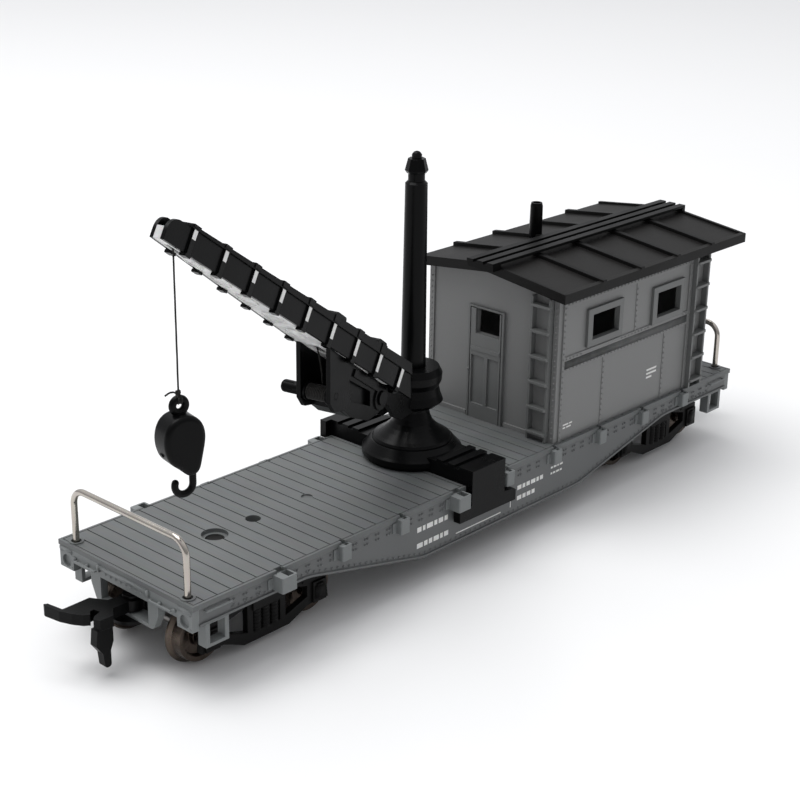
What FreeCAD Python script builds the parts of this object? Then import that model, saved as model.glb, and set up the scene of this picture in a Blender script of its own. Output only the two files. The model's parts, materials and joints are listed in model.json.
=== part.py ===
import FreeCAD, Part
import math
import os

# HO scale work flat car: fishbelly deck, crew cabin and a pillar crane with a hand winch.
# +X runs towards the cabin end, +Y to the left side, +Z up. The origin is on the table, midway
# between the couplers and on the centreline. Everything is in millimetres.

# Deck and its planks
DECK_LENGTH = 150.0
DECK_WIDTH = 34.0
DECK_TOP = 15.7
DECK_THICK = 1.6
PLANKS = 55
GROOVE_WIDTH = 0.24
GROOVE_DEPTH = 0.22
CURB = 0.5
SEAM = 0.16
NOTCH = 0.8
SOCKET_X = -47.2
SOCKET_RADIUS = 1.35
DIMPLE_X = -34.5
DIMPLE_RADIUS = 1.05

# Underframe
SILL_FACE = 16.7
SILL_THICK = 1.0
END_THICK = 1.4
SILL_TOP = 14.8
SILL_SHALLOW = 11.8
SILL_DEEP = 5.4
SILL_TAPER_START = 50.5
SILL_TAPER_END = 22.5
POCKETS = 9
POCKET_PITCH = 14.2

# Wheels, axles and trucks
BACK_TO_BACK = 14.5
FLANGE_RADIUS = 5.55
TREAD_RADIUS = 4.75
WHEELBASE = 23.6
TRUCK_X = 55.8
TRUCK_TOP = 12.2
JOURNAL_RADIUS = 0.6
RUN_CLEARANCE = 0.06

# Couplers
COUPLER_PIVOT_X = 73.5
COUPLER_LOW = 9.0
COUPLER_HIGH = 10.9

# End rails
RAIL_X = 73.5
RAIL_HALF = 14.07
RAIL_TOP = 25.3
RAIL_RADIUS = 0.56
RAIL_COLLAR = 1.25

# Cabin
CABIN_FRONT = 15.1
CABIN_REAR = 64.2
CABIN_HALF = 16.0
WALL_THICK = 0.9
LADDER_WIDTH = 4.7
LADDER_DEPTH = 1.3
LADDER_X = 58.4
EAVE_X0 = 12.8
EAVE_X1 = 73.6
EAVE_HALF = 18.6
EAVE_TOP = 45.8
RIDGE_TOP = 48.1
ROOF_THICK = 1.4
BATTEN_HALF = 0.55
BATTEN_HEIGHT = 0.7
RIM_HEIGHT = 0.4
BOARD_HALF = 0.75
BOARD_PITCH = 2.45

# Crane base, pillar and bracket
MAST_X = -7.4
BASE_X = -7.0
BASE_TOP = 18.4
BASE_HALF_X = 4.55
BASE_SIDE = 18.5
DISC_RADIUS = 9.3
DISC_TOP = 19.3
BELL_TOP = 25.8
MAST_RADIUS_LOW = 2.35
MAST_RADIUS_HIGH = 2.0
MAST_TOP = 67.6
COLLAR_TOP = 33.3
COLLAR_RADIUS = 5.4

# Boom, measured from the luffing pin: X along the boom, Z square to it, Y across
SLEW_REST = 13.4
LUFF_REST = 34.4
PIN_REACH = 17.6
PIN_HEIGHT = 33.3
PIN_RADIUS = 0.8
BOOM_LENGTH = 69.7
BOOM_BODY_END = 65.0
BOOM_LOW = 2.3
BOOM_WEB_TOP = 6.0
FLANGE_TOP_ROOT = 7.8
FLANGE_TOP_TIP = 6.4
FLANGE_LAP = 0.35
BOOM_HALF_AT_PIN = 5.04
BOOM_TAPER = 0.05507
BOOM_SKIN = 0.6
RIBS = 9
RIB_FIRST = -1.0
RIB_PITCH = 8.12
ROOT_CUT = -7.1

# Winch under the boom, measured from the pin in the level frame
HOUSING_HALF = 3.3
HOUSING_WALL = 0.8
DRUM_FORWARD = 14.6
DRUM_UP = 5.0
DRUM_RADIUS = 1.05

# Hoist cord, tip sheave and hook
CORD_RADIUS = 0.15
CORD_GAP = 0.02
SHEAVE_U = 65.3
SHEAVE_V = 4.4
SHEAVE_GROOVE = 1.0
SHEAVE_RADIUS = 1.5
HOOK_TURN = -12.0
EYE_HEIGHT = 48.7
EYE_RING = 1.05
EYE_WIRE = 0.58
BLOCK_HALF_THICK = 2.2
BLOCK_ROUND = 0.8
HOOK_CENTRE_HEIGHT = 36.1
HOOK_BEND = 1.5
HOOK_WIRE = 0.55

V = FreeCAD.Vector
X_AXIS = V(1, 0, 0)
Y_AXIS = V(0, 1, 0)
Z_AXIS = V(0, 0, 1)
ORIGIN = V(0, 0, 0)
nodes = {}


# ---------------------------------------------------------------- small helpers

def box(x0, y0, z0, x1, y1, z1):
    return Part.makeBox(x1 - x0, y1 - y0, z1 - z0, V(x0, y0, z0))


def rod(radius, start, axis, length):
    return Part.makeCylinder(radius, length, start, axis)


def prism(points, direction):
    wire = Part.makePolygon(points + [points[0]])
    return Part.Face(wire).extrude(direction)


def prism_xz(outline, y0, y1):
    return prism([V(x, y0, z) for x, z in outline], V(0, y1 - y0, 0))


def prism_xy(outline, z0, z1):
    return prism([V(x, y, z0) for x, y in outline], V(0, 0, z1 - z0))


def prism_yz(outline, x0, x1):
    return prism([V(x0, y, z) for y, z in outline], V(x1 - x0, 0, 0))


def fuse(shapes):
    whole = shapes[0].multiFuse(shapes[1:]) if len(shapes) > 1 else shapes[0]
    return whole.removeSplitter()


def cut(shape, tools):
    return shape.cut(Part.makeCompound(tools)) if tools else shape


def flip_x(shape):
    return shape.mirror(ORIGIN, X_AXIS)


def flip_y(shape):
    return shape.mirror(ORIGIN, Y_AXIS)


def both_sides(shape):
    return [shape, flip_y(shape)]


def turned(shape, centre, axis, degrees):
    copy = shape.copy()
    copy.rotate(centre, axis, degrees)
    return copy


def lathe(outline, x=0.0, y=0.0):
    """A solid of revolution about the vertical through (x, y); outline is (radius, height)."""
    wire = Part.makePolygon([V(x + r, y, z) for r, z in outline] + [V(x + outline[0][0], y, outline[0][1])])
    return Part.Face(wire).revolve(V(x, y, 0), Z_AXIS, 360)


def round_edges(shape, radius, chosen):
    edges = [edge for edge in shape.Edges if chosen(edge)]
    return shape.makeFillet(radius, edges) if edges else shape


def along(axis):
    def test(edge):
        if not isinstance(edge.Curve, Part.Line):
            return False
        return abs(abs(edge.tangentAt(edge.FirstParameter).dot(axis)) - 1) < 1e-6
    return test


def wire_tube(points, radius, bends):
    """A round tube through points, straight runs joined by tangent arcs of the given bend radii."""
    edges = []
    here = points[0]
    for before, corner, after, bend in zip(points, points[1:], points[2:], bends):
        into = (corner - before).normalize()
        out = (after - corner).normalize()
        turn = into.getAngle(out)
        setback = bend * math.tan(turn / 2)
        start = corner - into * setback
        end = corner + out * setback
        inward = (out - into).normalize()
        middle = corner + inward * (bend / math.cos(turn / 2) - bend)
        edges.append(Part.LineSegment(here, start).toShape())
        edges.append(Part.Arc(start, middle, end).toShape())
        here = end
    edges.append(Part.LineSegment(here, points[-1]).toShape())
    path = Part.Wire(edges)
    ring = Part.Wire(Part.Circle(points[0], points[1] - points[0], radius).toShape())
    return path.makePipeShell([ring], True, True)


def keep(name, shape):
    nodes[name] = shape


# ---------------------------------------------------------------- deck and underframe

def end_x():
    return DECK_LENGTH / 2


def make_deck():
    """Planked floor: a thin edge that laps the sills and a thicker slab between them."""
    low = DECK_TOP - DECK_THICK
    half = DECK_WIDTH / 2
    inner = SILL_FACE - SILL_THICK
    edge = box(-end_x(), -half, SILL_TOP, end_x(), half, DECK_TOP)
    slab = fuse([edge, box(-end_x() + END_THICK, -inner, low, end_x() - END_THICK, inner, DECK_TOP)])
    pitch = DECK_LENGTH / PLANKS
    across = half - CURB
    along_deck = end_x() - CURB
    groove = DECK_TOP - GROOVE_DEPTH
    tools = []
    for i in range(1, PLANKS):
        x = -end_x() + i * pitch
        tools.append(box(x - GROOVE_WIDTH / 2, -across, groove, x + GROOVE_WIDTH / 2, across, DECK_TOP + 1))
    seam = box(-along_deck, -across, groove, along_deck, across, DECK_TOP + 1)
    tools.append(seam.cut(box(-along_deck + SEAM, -across + SEAM, 0, along_deck - SEAM, across - SEAM, 20)))
    for x, large in pocket_places():
        wide = NOTCH if large else NOTCH / 2
        tools += both_sides(box(x - wide, half - NOTCH, SILL_TOP + 0.1, x + wide, half + 1, DECK_TOP + 1))
    for x in (-TRUCK_X, TRUCK_X):
        tools.append(rod(2.3, V(x, 0, DECK_TOP - 0.7), Z_AXIS, 2))
        tools.append(rod(1.65, V(x, 0, low - 1), Z_AXIS, 4))
    tools.append(rod(SOCKET_RADIUS, V(SOCKET_X, 0, low - 1), Z_AXIS, 4))
    tools.append(rod(DIMPLE_RADIUS, V(DIMPLE_X, 0, DECK_TOP - 0.3), Z_AXIS, 1))
    for x in (-RAIL_X, RAIL_X):
        for y in (-RAIL_HALF, RAIL_HALF):
            tools.append(rod(0.85, V(x, y, DECK_TOP - 0.3), Z_AXIS, 1))
            tools.append(rod(RAIL_RADIUS, V(x, y, SILL_TOP), Z_AXIS, 4))
    tools.append(rod(1.96, V(MAST_X, 0, low - 1), Z_AXIS, 4))
    collars = []
    for x in (-RAIL_X, RAIL_X):
        for y in (-RAIL_HALF, RAIL_HALF):
            ring = rod(RAIL_COLLAR, V(x, y, DECK_TOP - 0.3), Z_AXIS, 0.5)
            collars.append(ring.cut(rod(0.85, V(x, y, DECK_TOP - 1), Z_AXIS, 2)))
    keep("deck", fuse([cut(slab, tools)] + collars))


def sill_outline(lift=0.0):
    return [(-end_x(), SILL_TOP + lift), (-end_x(), SILL_SHALLOW + lift),
            (-SILL_TAPER_START, SILL_SHALLOW + lift), (-SILL_TAPER_END, SILL_DEEP + lift),
            (SILL_TAPER_END, SILL_DEEP + lift), (SILL_TAPER_START, SILL_SHALLOW + lift),
            (end_x(), SILL_SHALLOW + lift), (end_x(), SILL_TOP + lift)]


def soften_taper(shape, radius=14.0):
    return round_edges(shape, radius, lambda e: along(Y_AXIS)(e)
                       and SILL_TAPER_END - 1 < abs(e.CenterOfMass.x) < SILL_TAPER_START + 1
                       and e.CenterOfMass.z < SILL_TOP - 0.5)


def make_side_sills():
    trim = 0.4
    web = soften_taper(prism_xz(sill_outline(), SILL_FACE - SILL_THICK, SILL_FACE))
    lip = soften_taper(prism_xz(sill_outline(), SILL_FACE, SILL_FACE + 0.3))
    lip = lip.cut(soften_taper(prism_xz(sill_outline(trim), SILL_FACE - 1, SILL_FACE + 1)))
    lip = lip.cut(box(-end_x(), 0, SILL_TOP - 0.6, end_x(), 20, SILL_TOP + 1))
    ends = [box(-end_x(), 0, 0, -end_x() + END_THICK, 20, 20), box(end_x() - END_THICK, 0, 0, end_x(), 20, 20)]
    sill = cut(fuse([web, lip]), ends)
    keep("side_sill_left", sill)
    keep("side_sill_right", flip_y(sill))


def make_end_sill():
    """The sill across the -X end: strip, corner plates with push pole pockets, coupler frame."""
    x0 = -end_x()
    x1 = x0 + END_THICK
    strip = box(x0, -SILL_FACE, 12.6, x1, SILL_FACE, SILL_TOP)
    corners = both_sides(box(x0, 13.1, 11.1, x1, SILL_FACE, SILL_TOP))
    pole = [rod(1.1, V(x0 - 0.5, y, 12.5), X_AXIS, 1.0) for y in (-14.9, 14.9)]
    outside = [(-8.5, 12.6), (-8.5, 11.0), (-7.2, 8.1), (7.2, 8.1), (8.5, 11.0), (8.5, 12.6)]
    inside = [(-6.0, 12.7), (-6.0, 8.7), (6.0, 8.7), (6.0, 12.7)]
    frame = prism_yz(outside, x0, x1).cut(prism_yz(inside, x0 - 1, x0 + 3))
    frame = round_edges(frame, 0.9, lambda e: along(X_AXIS)(e) and e.CenterOfMass.z < 8.2)
    seat = box(x0, -4.2, 8.1, x0 + 2.6, 4.2, 8.7)
    pin_hole = rod(0.9, V(-COUPLER_PIVOT_X, 0, 5), Z_AXIS, 5)
    return fuse([strip, frame, seat] + corners).cut(Part.makeCompound(pole + [pin_hole]))


def make_centre_sill():
    """Centre sill with the two body bolsters that sit on the trucks."""
    low = DECK_TOP - DECK_THICK
    beam = box(-48, -3.2, 9.6, 48, 3.2, low - 1.2)
    parts = [beam]
    for side in (-1, 1):
        x = side * TRUCK_X
        parts.append(box(x - 2.2, -15.4, low - 1.2, x + 2.2, 15.4, low))
        parts.append(rod(3.2, V(x, 0, TRUCK_TOP), Z_AXIS, low - TRUCK_TOP))
        parts.append(box(min(side * 47, x), -3.2, low - 1.2, max(side * 47, x), 3.2, low))
    whole = fuse(parts)
    holes = [rod(1.5, V(side * TRUCK_X, 0, 0), Z_AXIS, 20) for side in (-1, 1)]
    holes.append(rod(1.96, V(MAST_X, 0, 9), Z_AXIS, 8))
    keep("centre_sill", cut(whole, holes))


def make_ballast():
    low = DECK_TOP - DECK_THICK
    plate = box(-44, -14.8, low - 1.2, 44, 14.8, low)
    keep("ballast_plate", plate.cut(rod(2.6, V(MAST_X, 0, 9), Z_AXIS, 8)))


def pocket_places():
    """The x of each pocket along a side, and whether it is one of the two larger ones."""
    return [((i - (POCKETS - 1) / 2) * POCKET_PITCH, i in (0, 3)) for i in range(POCKETS)]


def make_stake_pockets():
    """Nine pockets along each side; the first and the fourth are larger."""
    solids = []
    for x, large in pocket_places():
        deep = 2.6 if large else 1.35
        half = 1.6 if large else 1.1
        body = box(x - half, SILL_FACE, 12.5, x + half, SILL_FACE + deep, 15.2)
        body = round_edges(body, 0.3, lambda e: along(Z_AXIS)(e) and e.CenterOfMass.y > SILL_FACE + 0.5)
        ear = box(x - half - 0.9, SILL_FACE, 12.7, x - half, SILL_FACE + 0.2, 14.6)
        slot = box(x - 0.1, SILL_FACE + 0.35, 12, x + half - 0.35, SILL_FACE + deep - 0.35, 16)
        floor = box(x - 3, 0, SILL_TOP, x + 3, DECK_WIDTH / 2, 16)
        solids.append(fuse([body, ear]).cut(slot).cut(floor))
    left = Part.makeCompound(solids)
    keep("stake_pockets_left", left)
    keep("stake_pockets_right", flip_y(left))


def make_steps():
    """A boxed stirrup step hanging under each end of both side sills."""
    outer = box(-72.3, 14.8, 7.4, -67.6, 16.7, 11.8)
    window = box(-71.5, 14.0, 7.95, -68.4, 18.0, 11.45)
    hollow = box(-71.6, 14.0, 7.95, -68.3, 16.0, 12.5)
    step = outer.cut(window).cut(hollow)
    row = both_sides(step)
    keep("sill_steps", Part.makeCompound(row + [flip_x(s) for s in row]))


def grab_iron(start, end, stand):
    """A thin bar on two stubs that stand off a face by the vector stand."""
    bar = (end - start).normalize()
    radius = 0.17
    parts = [rod(radius, start + stand, bar, start.distanceToPoint(end))]
    for foot in (start, end):
        parts.append(rod(radius, foot, stand, stand.Length))
        parts.append(Part.makeSphere(radius, foot + stand))
    return fuse(parts)


def make_grab_irons():
    out = V(0, 0.55, 0)
    side = grab_iron(V(-72.4, SILL_FACE, 14.1), V(-67.4, SILL_FACE, 14.1), out)
    front = grab_iron(V(-end_x(), 7.0, 13.4), V(-end_x(), 12.0, 13.4), V(-0.45, 0, 0))
    row = both_sides(side) + both_sides(front)
    keep("grab_irons", Part.makeCompound(row + [flip_x(s) for s in row]))


def make_end_rail(x):
    foot = SILL_TOP
    points = [V(x, -RAIL_HALF, foot), V(x, -RAIL_HALF, RAIL_TOP),
              V(x, RAIL_HALF, RAIL_TOP), V(x, RAIL_HALF, foot)]
    return wire_tube(points, RAIL_RADIUS, [2.8, 2.8])


# ---------------------------------------------------------------- trucks and couplers

def wheel_profile():
    """One wheel about the Y axis, as (height above the axle, distance from the centreline)."""
    back = BACK_TO_BACK / 2
    return [(0.9, back), (FLANGE_RADIUS - 0.3, back), (FLANGE_RADIUS, back + 0.3),
            (FLANGE_RADIUS, back + 0.6), (TREAD_RADIUS + 0.1, back + 1.05),
            (TREAD_RADIUS - 0.1, back + 2.85), (TREAD_RADIUS - 0.9, back + 2.85),
            (TREAD_RADIUS - 1.2, back + 2.0), (2.1, back + 2.0), (1.9, back + 2.9), (0.9, back + 2.9)]


def make_wheels(x):
    outline = [V(x + r, y, FLANGE_RADIUS) for r, y in wheel_profile()]
    face = Part.Face(Part.makePolygon(outline + [outline[0]]))
    wheel = face.revolve(V(x, 0, FLANGE_RADIUS), Y_AXIS, 360)
    return Part.makeCompound(both_sides(wheel))


def make_axle(x):
    shank = rod(0.9, V(x, -10.65, FLANGE_RADIUS), Y_AXIS, 21.3)
    ends = rod(JOURNAL_RADIUS, V(x, -12.2, FLANGE_RADIUS), Y_AXIS, 24.4)
    return fuse([shank, ends])


def side_frame(x):
    """One cast side frame: top bar, bottom bar, journal boxes and the spring group between them."""
    bow = [(-14.0, 3.6), (-13.6, 8.4), (-9.5, 8.6), (-4.6, 10.4), (4.6, 10.4), (9.5, 8.6), (13.6, 8.4),
           (14.0, 3.6), (9.4, 3.6), (5.0, 1.7), (-5.0, 1.7), (-9.4, 3.6)]
    plate = prism_xz([(x + a, b) for a, b in bow], 11.3, 12.5)
    gaps = [prism_xz([(x + s * 9.2, 5.2), (x + s * 9.2, 7.2), (x + s * 4.2, 8.6), (x + s * 4.2, 3.6)], 11, 13)
            for s in (-1, 1)]
    gaps.append(box(x - 3.0, 11, 3.3, x + 3.0, 13, 8.8))
    frame = cut(plate, gaps)
    boxes = [box(x + s * WHEELBASE / 2 - 1.5, 11.3, 3.7, x + s * WHEELBASE / 2 + 1.5, 12.9, 7.5) for s in (-1, 1)]
    springs = [rod(0.85, V(x + dx, 11.9, 3.2), Z_AXIS, 4.4) for dx in (-1.9, 0.0, 1.9)]
    end_cap = box(x - 3.2, 11.3, 7.4, x + 3.2, 12.9, 9.0)
    return fuse([frame, end_cap] + boxes + springs)


def make_truck_frame(x):
    beam = box(x - 2.6, -11.5, 8.0, x + 2.6, 11.5, 10.4)
    centre = rod(4.0, V(x, 0, 8.0), Z_AXIS, TRUCK_TOP - RUN_CLEARANCE - 8.0)
    frame = fuse([beam, centre] + both_sides(side_frame(x)))
    holes = [rod(1.5 + RUN_CLEARANCE, V(x, 0, 0), Z_AXIS, 20)]
    for s in (-1, 1):
        axle = V(x + s * WHEELBASE / 2, -12.3, FLANGE_RADIUS)
        holes.append(rod(JOURNAL_RADIUS + RUN_CLEARANCE, axle, Y_AXIS, 24.6))
    return cut(frame, holes)


def make_kingpins():
    pins = []
    for x in (-TRUCK_X, TRUCK_X):
        head = rod(2.4, V(x, 0, 7.2), Z_AXIS, 0.7)
        pins.append(fuse([head, rod(1.5, V(x, 0, 7.9), Z_AXIS, 7.0)]))
    keep("kingpins", Part.makeCompound(pins))


def make_coupler():
    """Horn-hook coupler at the -X end: eye, shank, hooked head with its horn, and trip pin."""
    e = -end_x()
    plan = [(0.4, -1.25), (0.4, 1.25), (-2.0, 1.6), (-3.6, 4.3), (-8.2, 4.2), (-8.9, 4.2), (-9.4, 7.4),
            (-10.0, 7.7), (-10.2, 7.2), (-9.7, 4.0), (-8.9, 1.9), (-7.9, 0.3), (-7.0, -0.4), (-6.3, 0.5),
            (-5.5, 0.6), (-5.3, -0.7), (-6.8, -1.2), (-7.6, -2.0), (-7.1, -3.1), (-4.6, -3.2), (-3.2, -1.25)]
    head = prism_xy([(e + a, b) for a, b in plan], COUPLER_LOW, COUPLER_HIGH)
    eye = rod(2.0, V(-COUPLER_PIVOT_X, 0, COUPLER_LOW), Z_AXIS, COUPLER_HIGH - COUPLER_LOW)
    root = box(e + 0.3, -1.25, COUPLER_LOW, e + 1.5, 1.25, COUPLER_HIGH)
    trip = prism_xz([(e - 7.6, 9.1), (e - 7.9, 6.4), (e - 6.7, 4.7), (e - 6.4, 2.1), (e - 5.2, 2.1),
                     (e - 5.2, 4.9), (e - 4.6, 6.4), (e - 4.6, 9.1)], -2.9, -1.3)
    trip = round_edges(trip, 0.5, lambda s: along(Y_AXIS)(s) and s.CenterOfMass.z < 2.5)
    bore = rod(0.85 + RUN_CLEARANCE, V(-COUPLER_PIVOT_X, 0, 5), Z_AXIS, 8)
    return fuse([head, eye, root, trip]).cut(bore)


def make_coupler_pin():
    """Round retaining plate under the seat, with the pin that the coupler turns on."""
    plate = rod(3.7, V(-COUPLER_PIVOT_X, 0, 7.5), Z_AXIS, 0.6)
    neck = rod(0.9, V(-COUPLER_PIVOT_X, 0, 8.1), Z_AXIS, 0.6)
    stem = rod(0.85, V(-COUPLER_PIVOT_X, 0, 8.7), Z_AXIS, 2.4)
    cap = rod(1.5, V(-COUPLER_PIVOT_X, 0, 11.0), Z_AXIS, 0.5)
    return fuse([plate, neck, stem, cap])


def make_running_gear():
    truck = make_truck_frame(-TRUCK_X)
    keep("front_truck_frame", truck)
    keep("rear_truck_frame", flip_x(truck))
    axle_places = {"front_outer": -TRUCK_X - WHEELBASE / 2, "front_inner": -TRUCK_X + WHEELBASE / 2,
                   "rear_inner": TRUCK_X - WHEELBASE / 2, "rear_outer": TRUCK_X + WHEELBASE / 2}
    for place, x in axle_places.items():
        keep(place + "_axle", make_axle(x))
        keep(place + "_wheels", make_wheels(x))
    make_kingpins()
    coupler = make_coupler()
    pin = make_coupler_pin()
    keep("front_coupler", coupler)
    keep("front_coupler_pin", pin)
    keep("rear_coupler", turned(coupler, ORIGIN, Z_AXIS, 180))
    keep("rear_coupler_pin", flip_x(pin))


# ---------------------------------------------------------------- cabin

def roof_under(y):
    slope = (RIDGE_TOP - EAVE_TOP) / EAVE_HALF
    return RIDGE_TOP - ROOF_THICK - slope * abs(y)


def door_opening(x0, x1):
    return box(x0, -2.2, 33.3, x1, 3.75, 38.3)


def end_wall(x0, x1):
    top = roof_under(CABIN_HALF)
    outline = [(-CABIN_HALF, DECK_TOP), (CABIN_HALF, DECK_TOP), (CABIN_HALF, top),
               (0, roof_under(0)), (-CABIN_HALF, top)]
    wall = prism_yz(outline, x0, x1)
    return wall.cut(door_opening(x0 - 1, x1 + 1))


def pillar(x0, x1, y0, y1):
    return box(x0, y0, DECK_TOP, x1, y1, roof_under(CABIN_HALF) - 0.3)


def make_end_walls():
    proud = 0.3
    f = CABIN_FRONT
    front = [end_wall(f, f + WALL_THICK)]
    front += both_sides(pillar(f - proud, f, CABIN_HALF - 1.2, CABIN_HALF))
    front.append(box(f - proud, -CABIN_HALF, DECK_TOP, f, -3.6, DECK_TOP + 0.9))
    front.append(box(f - proud, 6.0, DECK_TOP, f, CABIN_HALF, DECK_TOP + 0.9))
    keep("cabin_front_wall", fuse(front))
    r = CABIN_REAR
    rear = [end_wall(r - WALL_THICK, r)]
    rear += both_sides(pillar(r, r + proud, CABIN_HALF - 1.2, CABIN_HALF))
    keep("cabin_rear_wall", fuse(rear))


def window_spans():
    return [(24.35, 33.55, 34.0, 39.7), (45.65, 54.45, 33.4, 39.3)]


def make_side_walls():
    top = roof_under(CABIN_HALF)
    inner = CABIN_HALF - WALL_THICK
    proud = CABIN_HALF + 0.3
    x0 = CABIN_FRONT + WALL_THICK
    x1 = CABIN_REAR - WALL_THICK
    wall = box(x0, inner, DECK_TOP, x1, CABIN_HALF, top)
    low, high, eave = 29.7, 32.6, 42.4
    parts = [wall, box(x0, CABIN_HALF, low, LADDER_X, CABIN_HALF + 0.2, high)]
    parts.append(box(x0, CABIN_HALF, eave, LADDER_X, CABIN_HALF + 0.15, top - 0.3))
    for x, z0, z1 in ((29.45, DECK_TOP, low), (39.45, high, eave), (49.95, DECK_TOP, low)):
        parts.append(box(x - 0.25, CABIN_HALF, z0, x + 0.25, CABIN_HALF + 0.12, z1))
    for x, w in ((x0, 0.7), (LADDER_X - 0.9, 0.9)):
        parts.append(box(x, CABIN_HALF, DECK_TOP, x + w, proud, top - 0.3))
    openings = [box(a, 10, c, b, 20, d) for a, b, c, d in window_spans()]
    left = cut(fuse(parts), openings)
    keep("cabin_left_wall", left)
    keep("cabin_right_wall", flip_y(left))


def make_window_frames():
    """A raised surround with a sill round each of the four side windows."""
    frames = []
    for a, b, c, d in window_spans():
        outer = box(a - 1.1, CABIN_HALF, c - 0.9, b + 0.9, CABIN_HALF + 0.6, d + 0.9)
        ring = fuse([outer, box(a, CABIN_HALF - 0.6, c, b, CABIN_HALF + 0.3, d)])
        ring = ring.cut(box(a + 0.35, 10, c + 0.35, b - 0.35, 20, d - 0.35))
        frames.append(ring.cut(nodes["cabin_left_wall"]))
    keep("window_frames", Part.makeCompound(frames + [flip_y(s) for s in frames]))


def make_doors():
    """A framed door with a window and two sunk panels in each end wall."""
    f = CABIN_FRONT
    slab = box(f - 0.6, -3.2, DECK_TOP, f, 5.6, 38.8)
    tools = [door_opening(f - 1, f + 1)]
    for y0, y1 in ((1.4, 4.6), (-2.2, 0.6)):
        tools.append(box(f - 1, y0, 18.8, f - 0.25, y1, 28.8))
    for y in (5.05, -2.65):
        tools.append(box(f - 1, y - 0.12, DECK_TOP, f - 0.3, y + 0.12, 38.4))
    tools.append(box(f - 1, -2.7, 38.28, f - 0.3, 5.1, 38.52))
    rail = box(f - 0.75, -2.4, 29.8, f - 0.6, 4.8, 30.6)
    door = cut(slab, tools)
    door = fuse([door, rail])
    rear = door.copy()
    rear = turned(rear, V((CABIN_FRONT + CABIN_REAR) / 2, 0, 0), Z_AXIS, 180)
    keep("cabin_doors", Part.makeCompound([door, rear]))


def make_ladder():
    """A narrow ladder that stands off a wall at x = 0 towards -X: two stiles, five treads and a top bar."""
    bottom, top = DECK_TOP + 0.05, 44.2
    parts = []
    for y in (0, LADDER_WIDTH - 0.5):
        parts.append(box(-LADDER_DEPTH, y, bottom, 0, y + 0.5, top))
    for k in range(6):
        z = DECK_TOP + 1.3 + 5.06 * k
        tread = box(-LADDER_DEPTH - 0.45, 0.1, z, 0, LADDER_WIDTH - 0.1, z + 0.5)
        parts.append(round_edges(tread, 0.4, lambda e: along(Z_AXIS)(e) and e.CenterOfMass.x < -LADDER_DEPTH))
    return fuse(parts)


def make_ladders():
    """One ladder on the front wall, beside its right corner, and one on the right wall, at its rear end."""
    front = make_ladder()
    front.translate(V(CABIN_FRONT, -14.7, 0))
    side = turned(make_ladder(), ORIGIN, Z_AXIS, 90)
    side.translate(V(LADDER_X + LADDER_WIDTH, -CABIN_HALF, 0))
    keep("cabin_ladders", Part.makeCompound([front.cut(nodes["cabin_front_wall"]), side]))


def make_roof():
    under = [(-EAVE_HALF, EAVE_TOP - ROOF_THICK), (0, RIDGE_TOP - ROOF_THICK), (EAVE_HALF, EAVE_TOP - ROOF_THICK)]
    over = [(EAVE_HALF, EAVE_TOP), (0, RIDGE_TOP), (-EAVE_HALF, EAVE_TOP)]
    sheet = prism_yz(under + over, EAVE_X0, EAVE_X1)
    strip = over[::-1] + [(y, z + BATTEN_HEIGHT) for y, z in over]
    edging = over[::-1] + [(y, z + RIM_HEIGHT) for y, z in over]
    parts = [sheet]
    panels = 5
    pitch = (EAVE_X1 - EAVE_X0) / panels
    for k in range(1, panels):
        x = EAVE_X0 + k * pitch
        parts.append(prism_yz(strip, x - BATTEN_HALF, x + BATTEN_HALF))
    parts.append(prism_yz(edging, EAVE_X0, EAVE_X0 + 0.7))
    parts.append(prism_yz(edging, EAVE_X1 - 0.7, EAVE_X1))
    slope = (RIDGE_TOP - EAVE_TOP) / EAVE_HALF
    inner = EAVE_HALF - 1.0
    rim = [(-inner, EAVE_TOP + slope * 1.0), (-EAVE_HALF, EAVE_TOP), (-EAVE_HALF, EAVE_TOP + RIM_HEIGHT),
           (-inner, EAVE_TOP + slope * 1.0 + RIM_HEIGHT)]
    parts.append(prism_yz(rim, EAVE_X0, EAVE_X1))
    keep("roof", fuse(parts))


def make_roof_walk():
    """Three running boards on the ridge with a bearer block under each end."""
    low = RIDGE_TOP + BATTEN_HEIGHT
    x0, x1 = EAVE_X0 - 2.2, EAVE_X1 + 0.4
    half = BOARD_PITCH + BOARD_HALF
    boards = [box(x0, y - BOARD_HALF, low, x1, y + BOARD_HALF, low + 0.5) for y in (-BOARD_PITCH, 0, BOARD_PITCH)]
    cleats = [box(a, -half, low - 1.1, b, half, low) for a, b in ((x0 + 0.1, EAVE_X0 + 0.2), (x1 - 1.0, x1))]
    whole = fuse(boards + cleats).cut(nodes["roof"])
    keep("roof_walk", whole)


def make_smoke_jack():
    stack = lathe([(0, 46.0), (1.35, 46.0), (1.25, 53.6), (1.1, 54.2), (0, 54.2)], 37.6, 8.2)
    hollow = rod(0.8, V(37.6, 8.2, 53.0), Z_AXIS, 3)
    keep("smoke_jack", stack.cut(hollow).cut(nodes["roof"]).Solids[-1])


# ---------------------------------------------------------------- crane pillar

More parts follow.
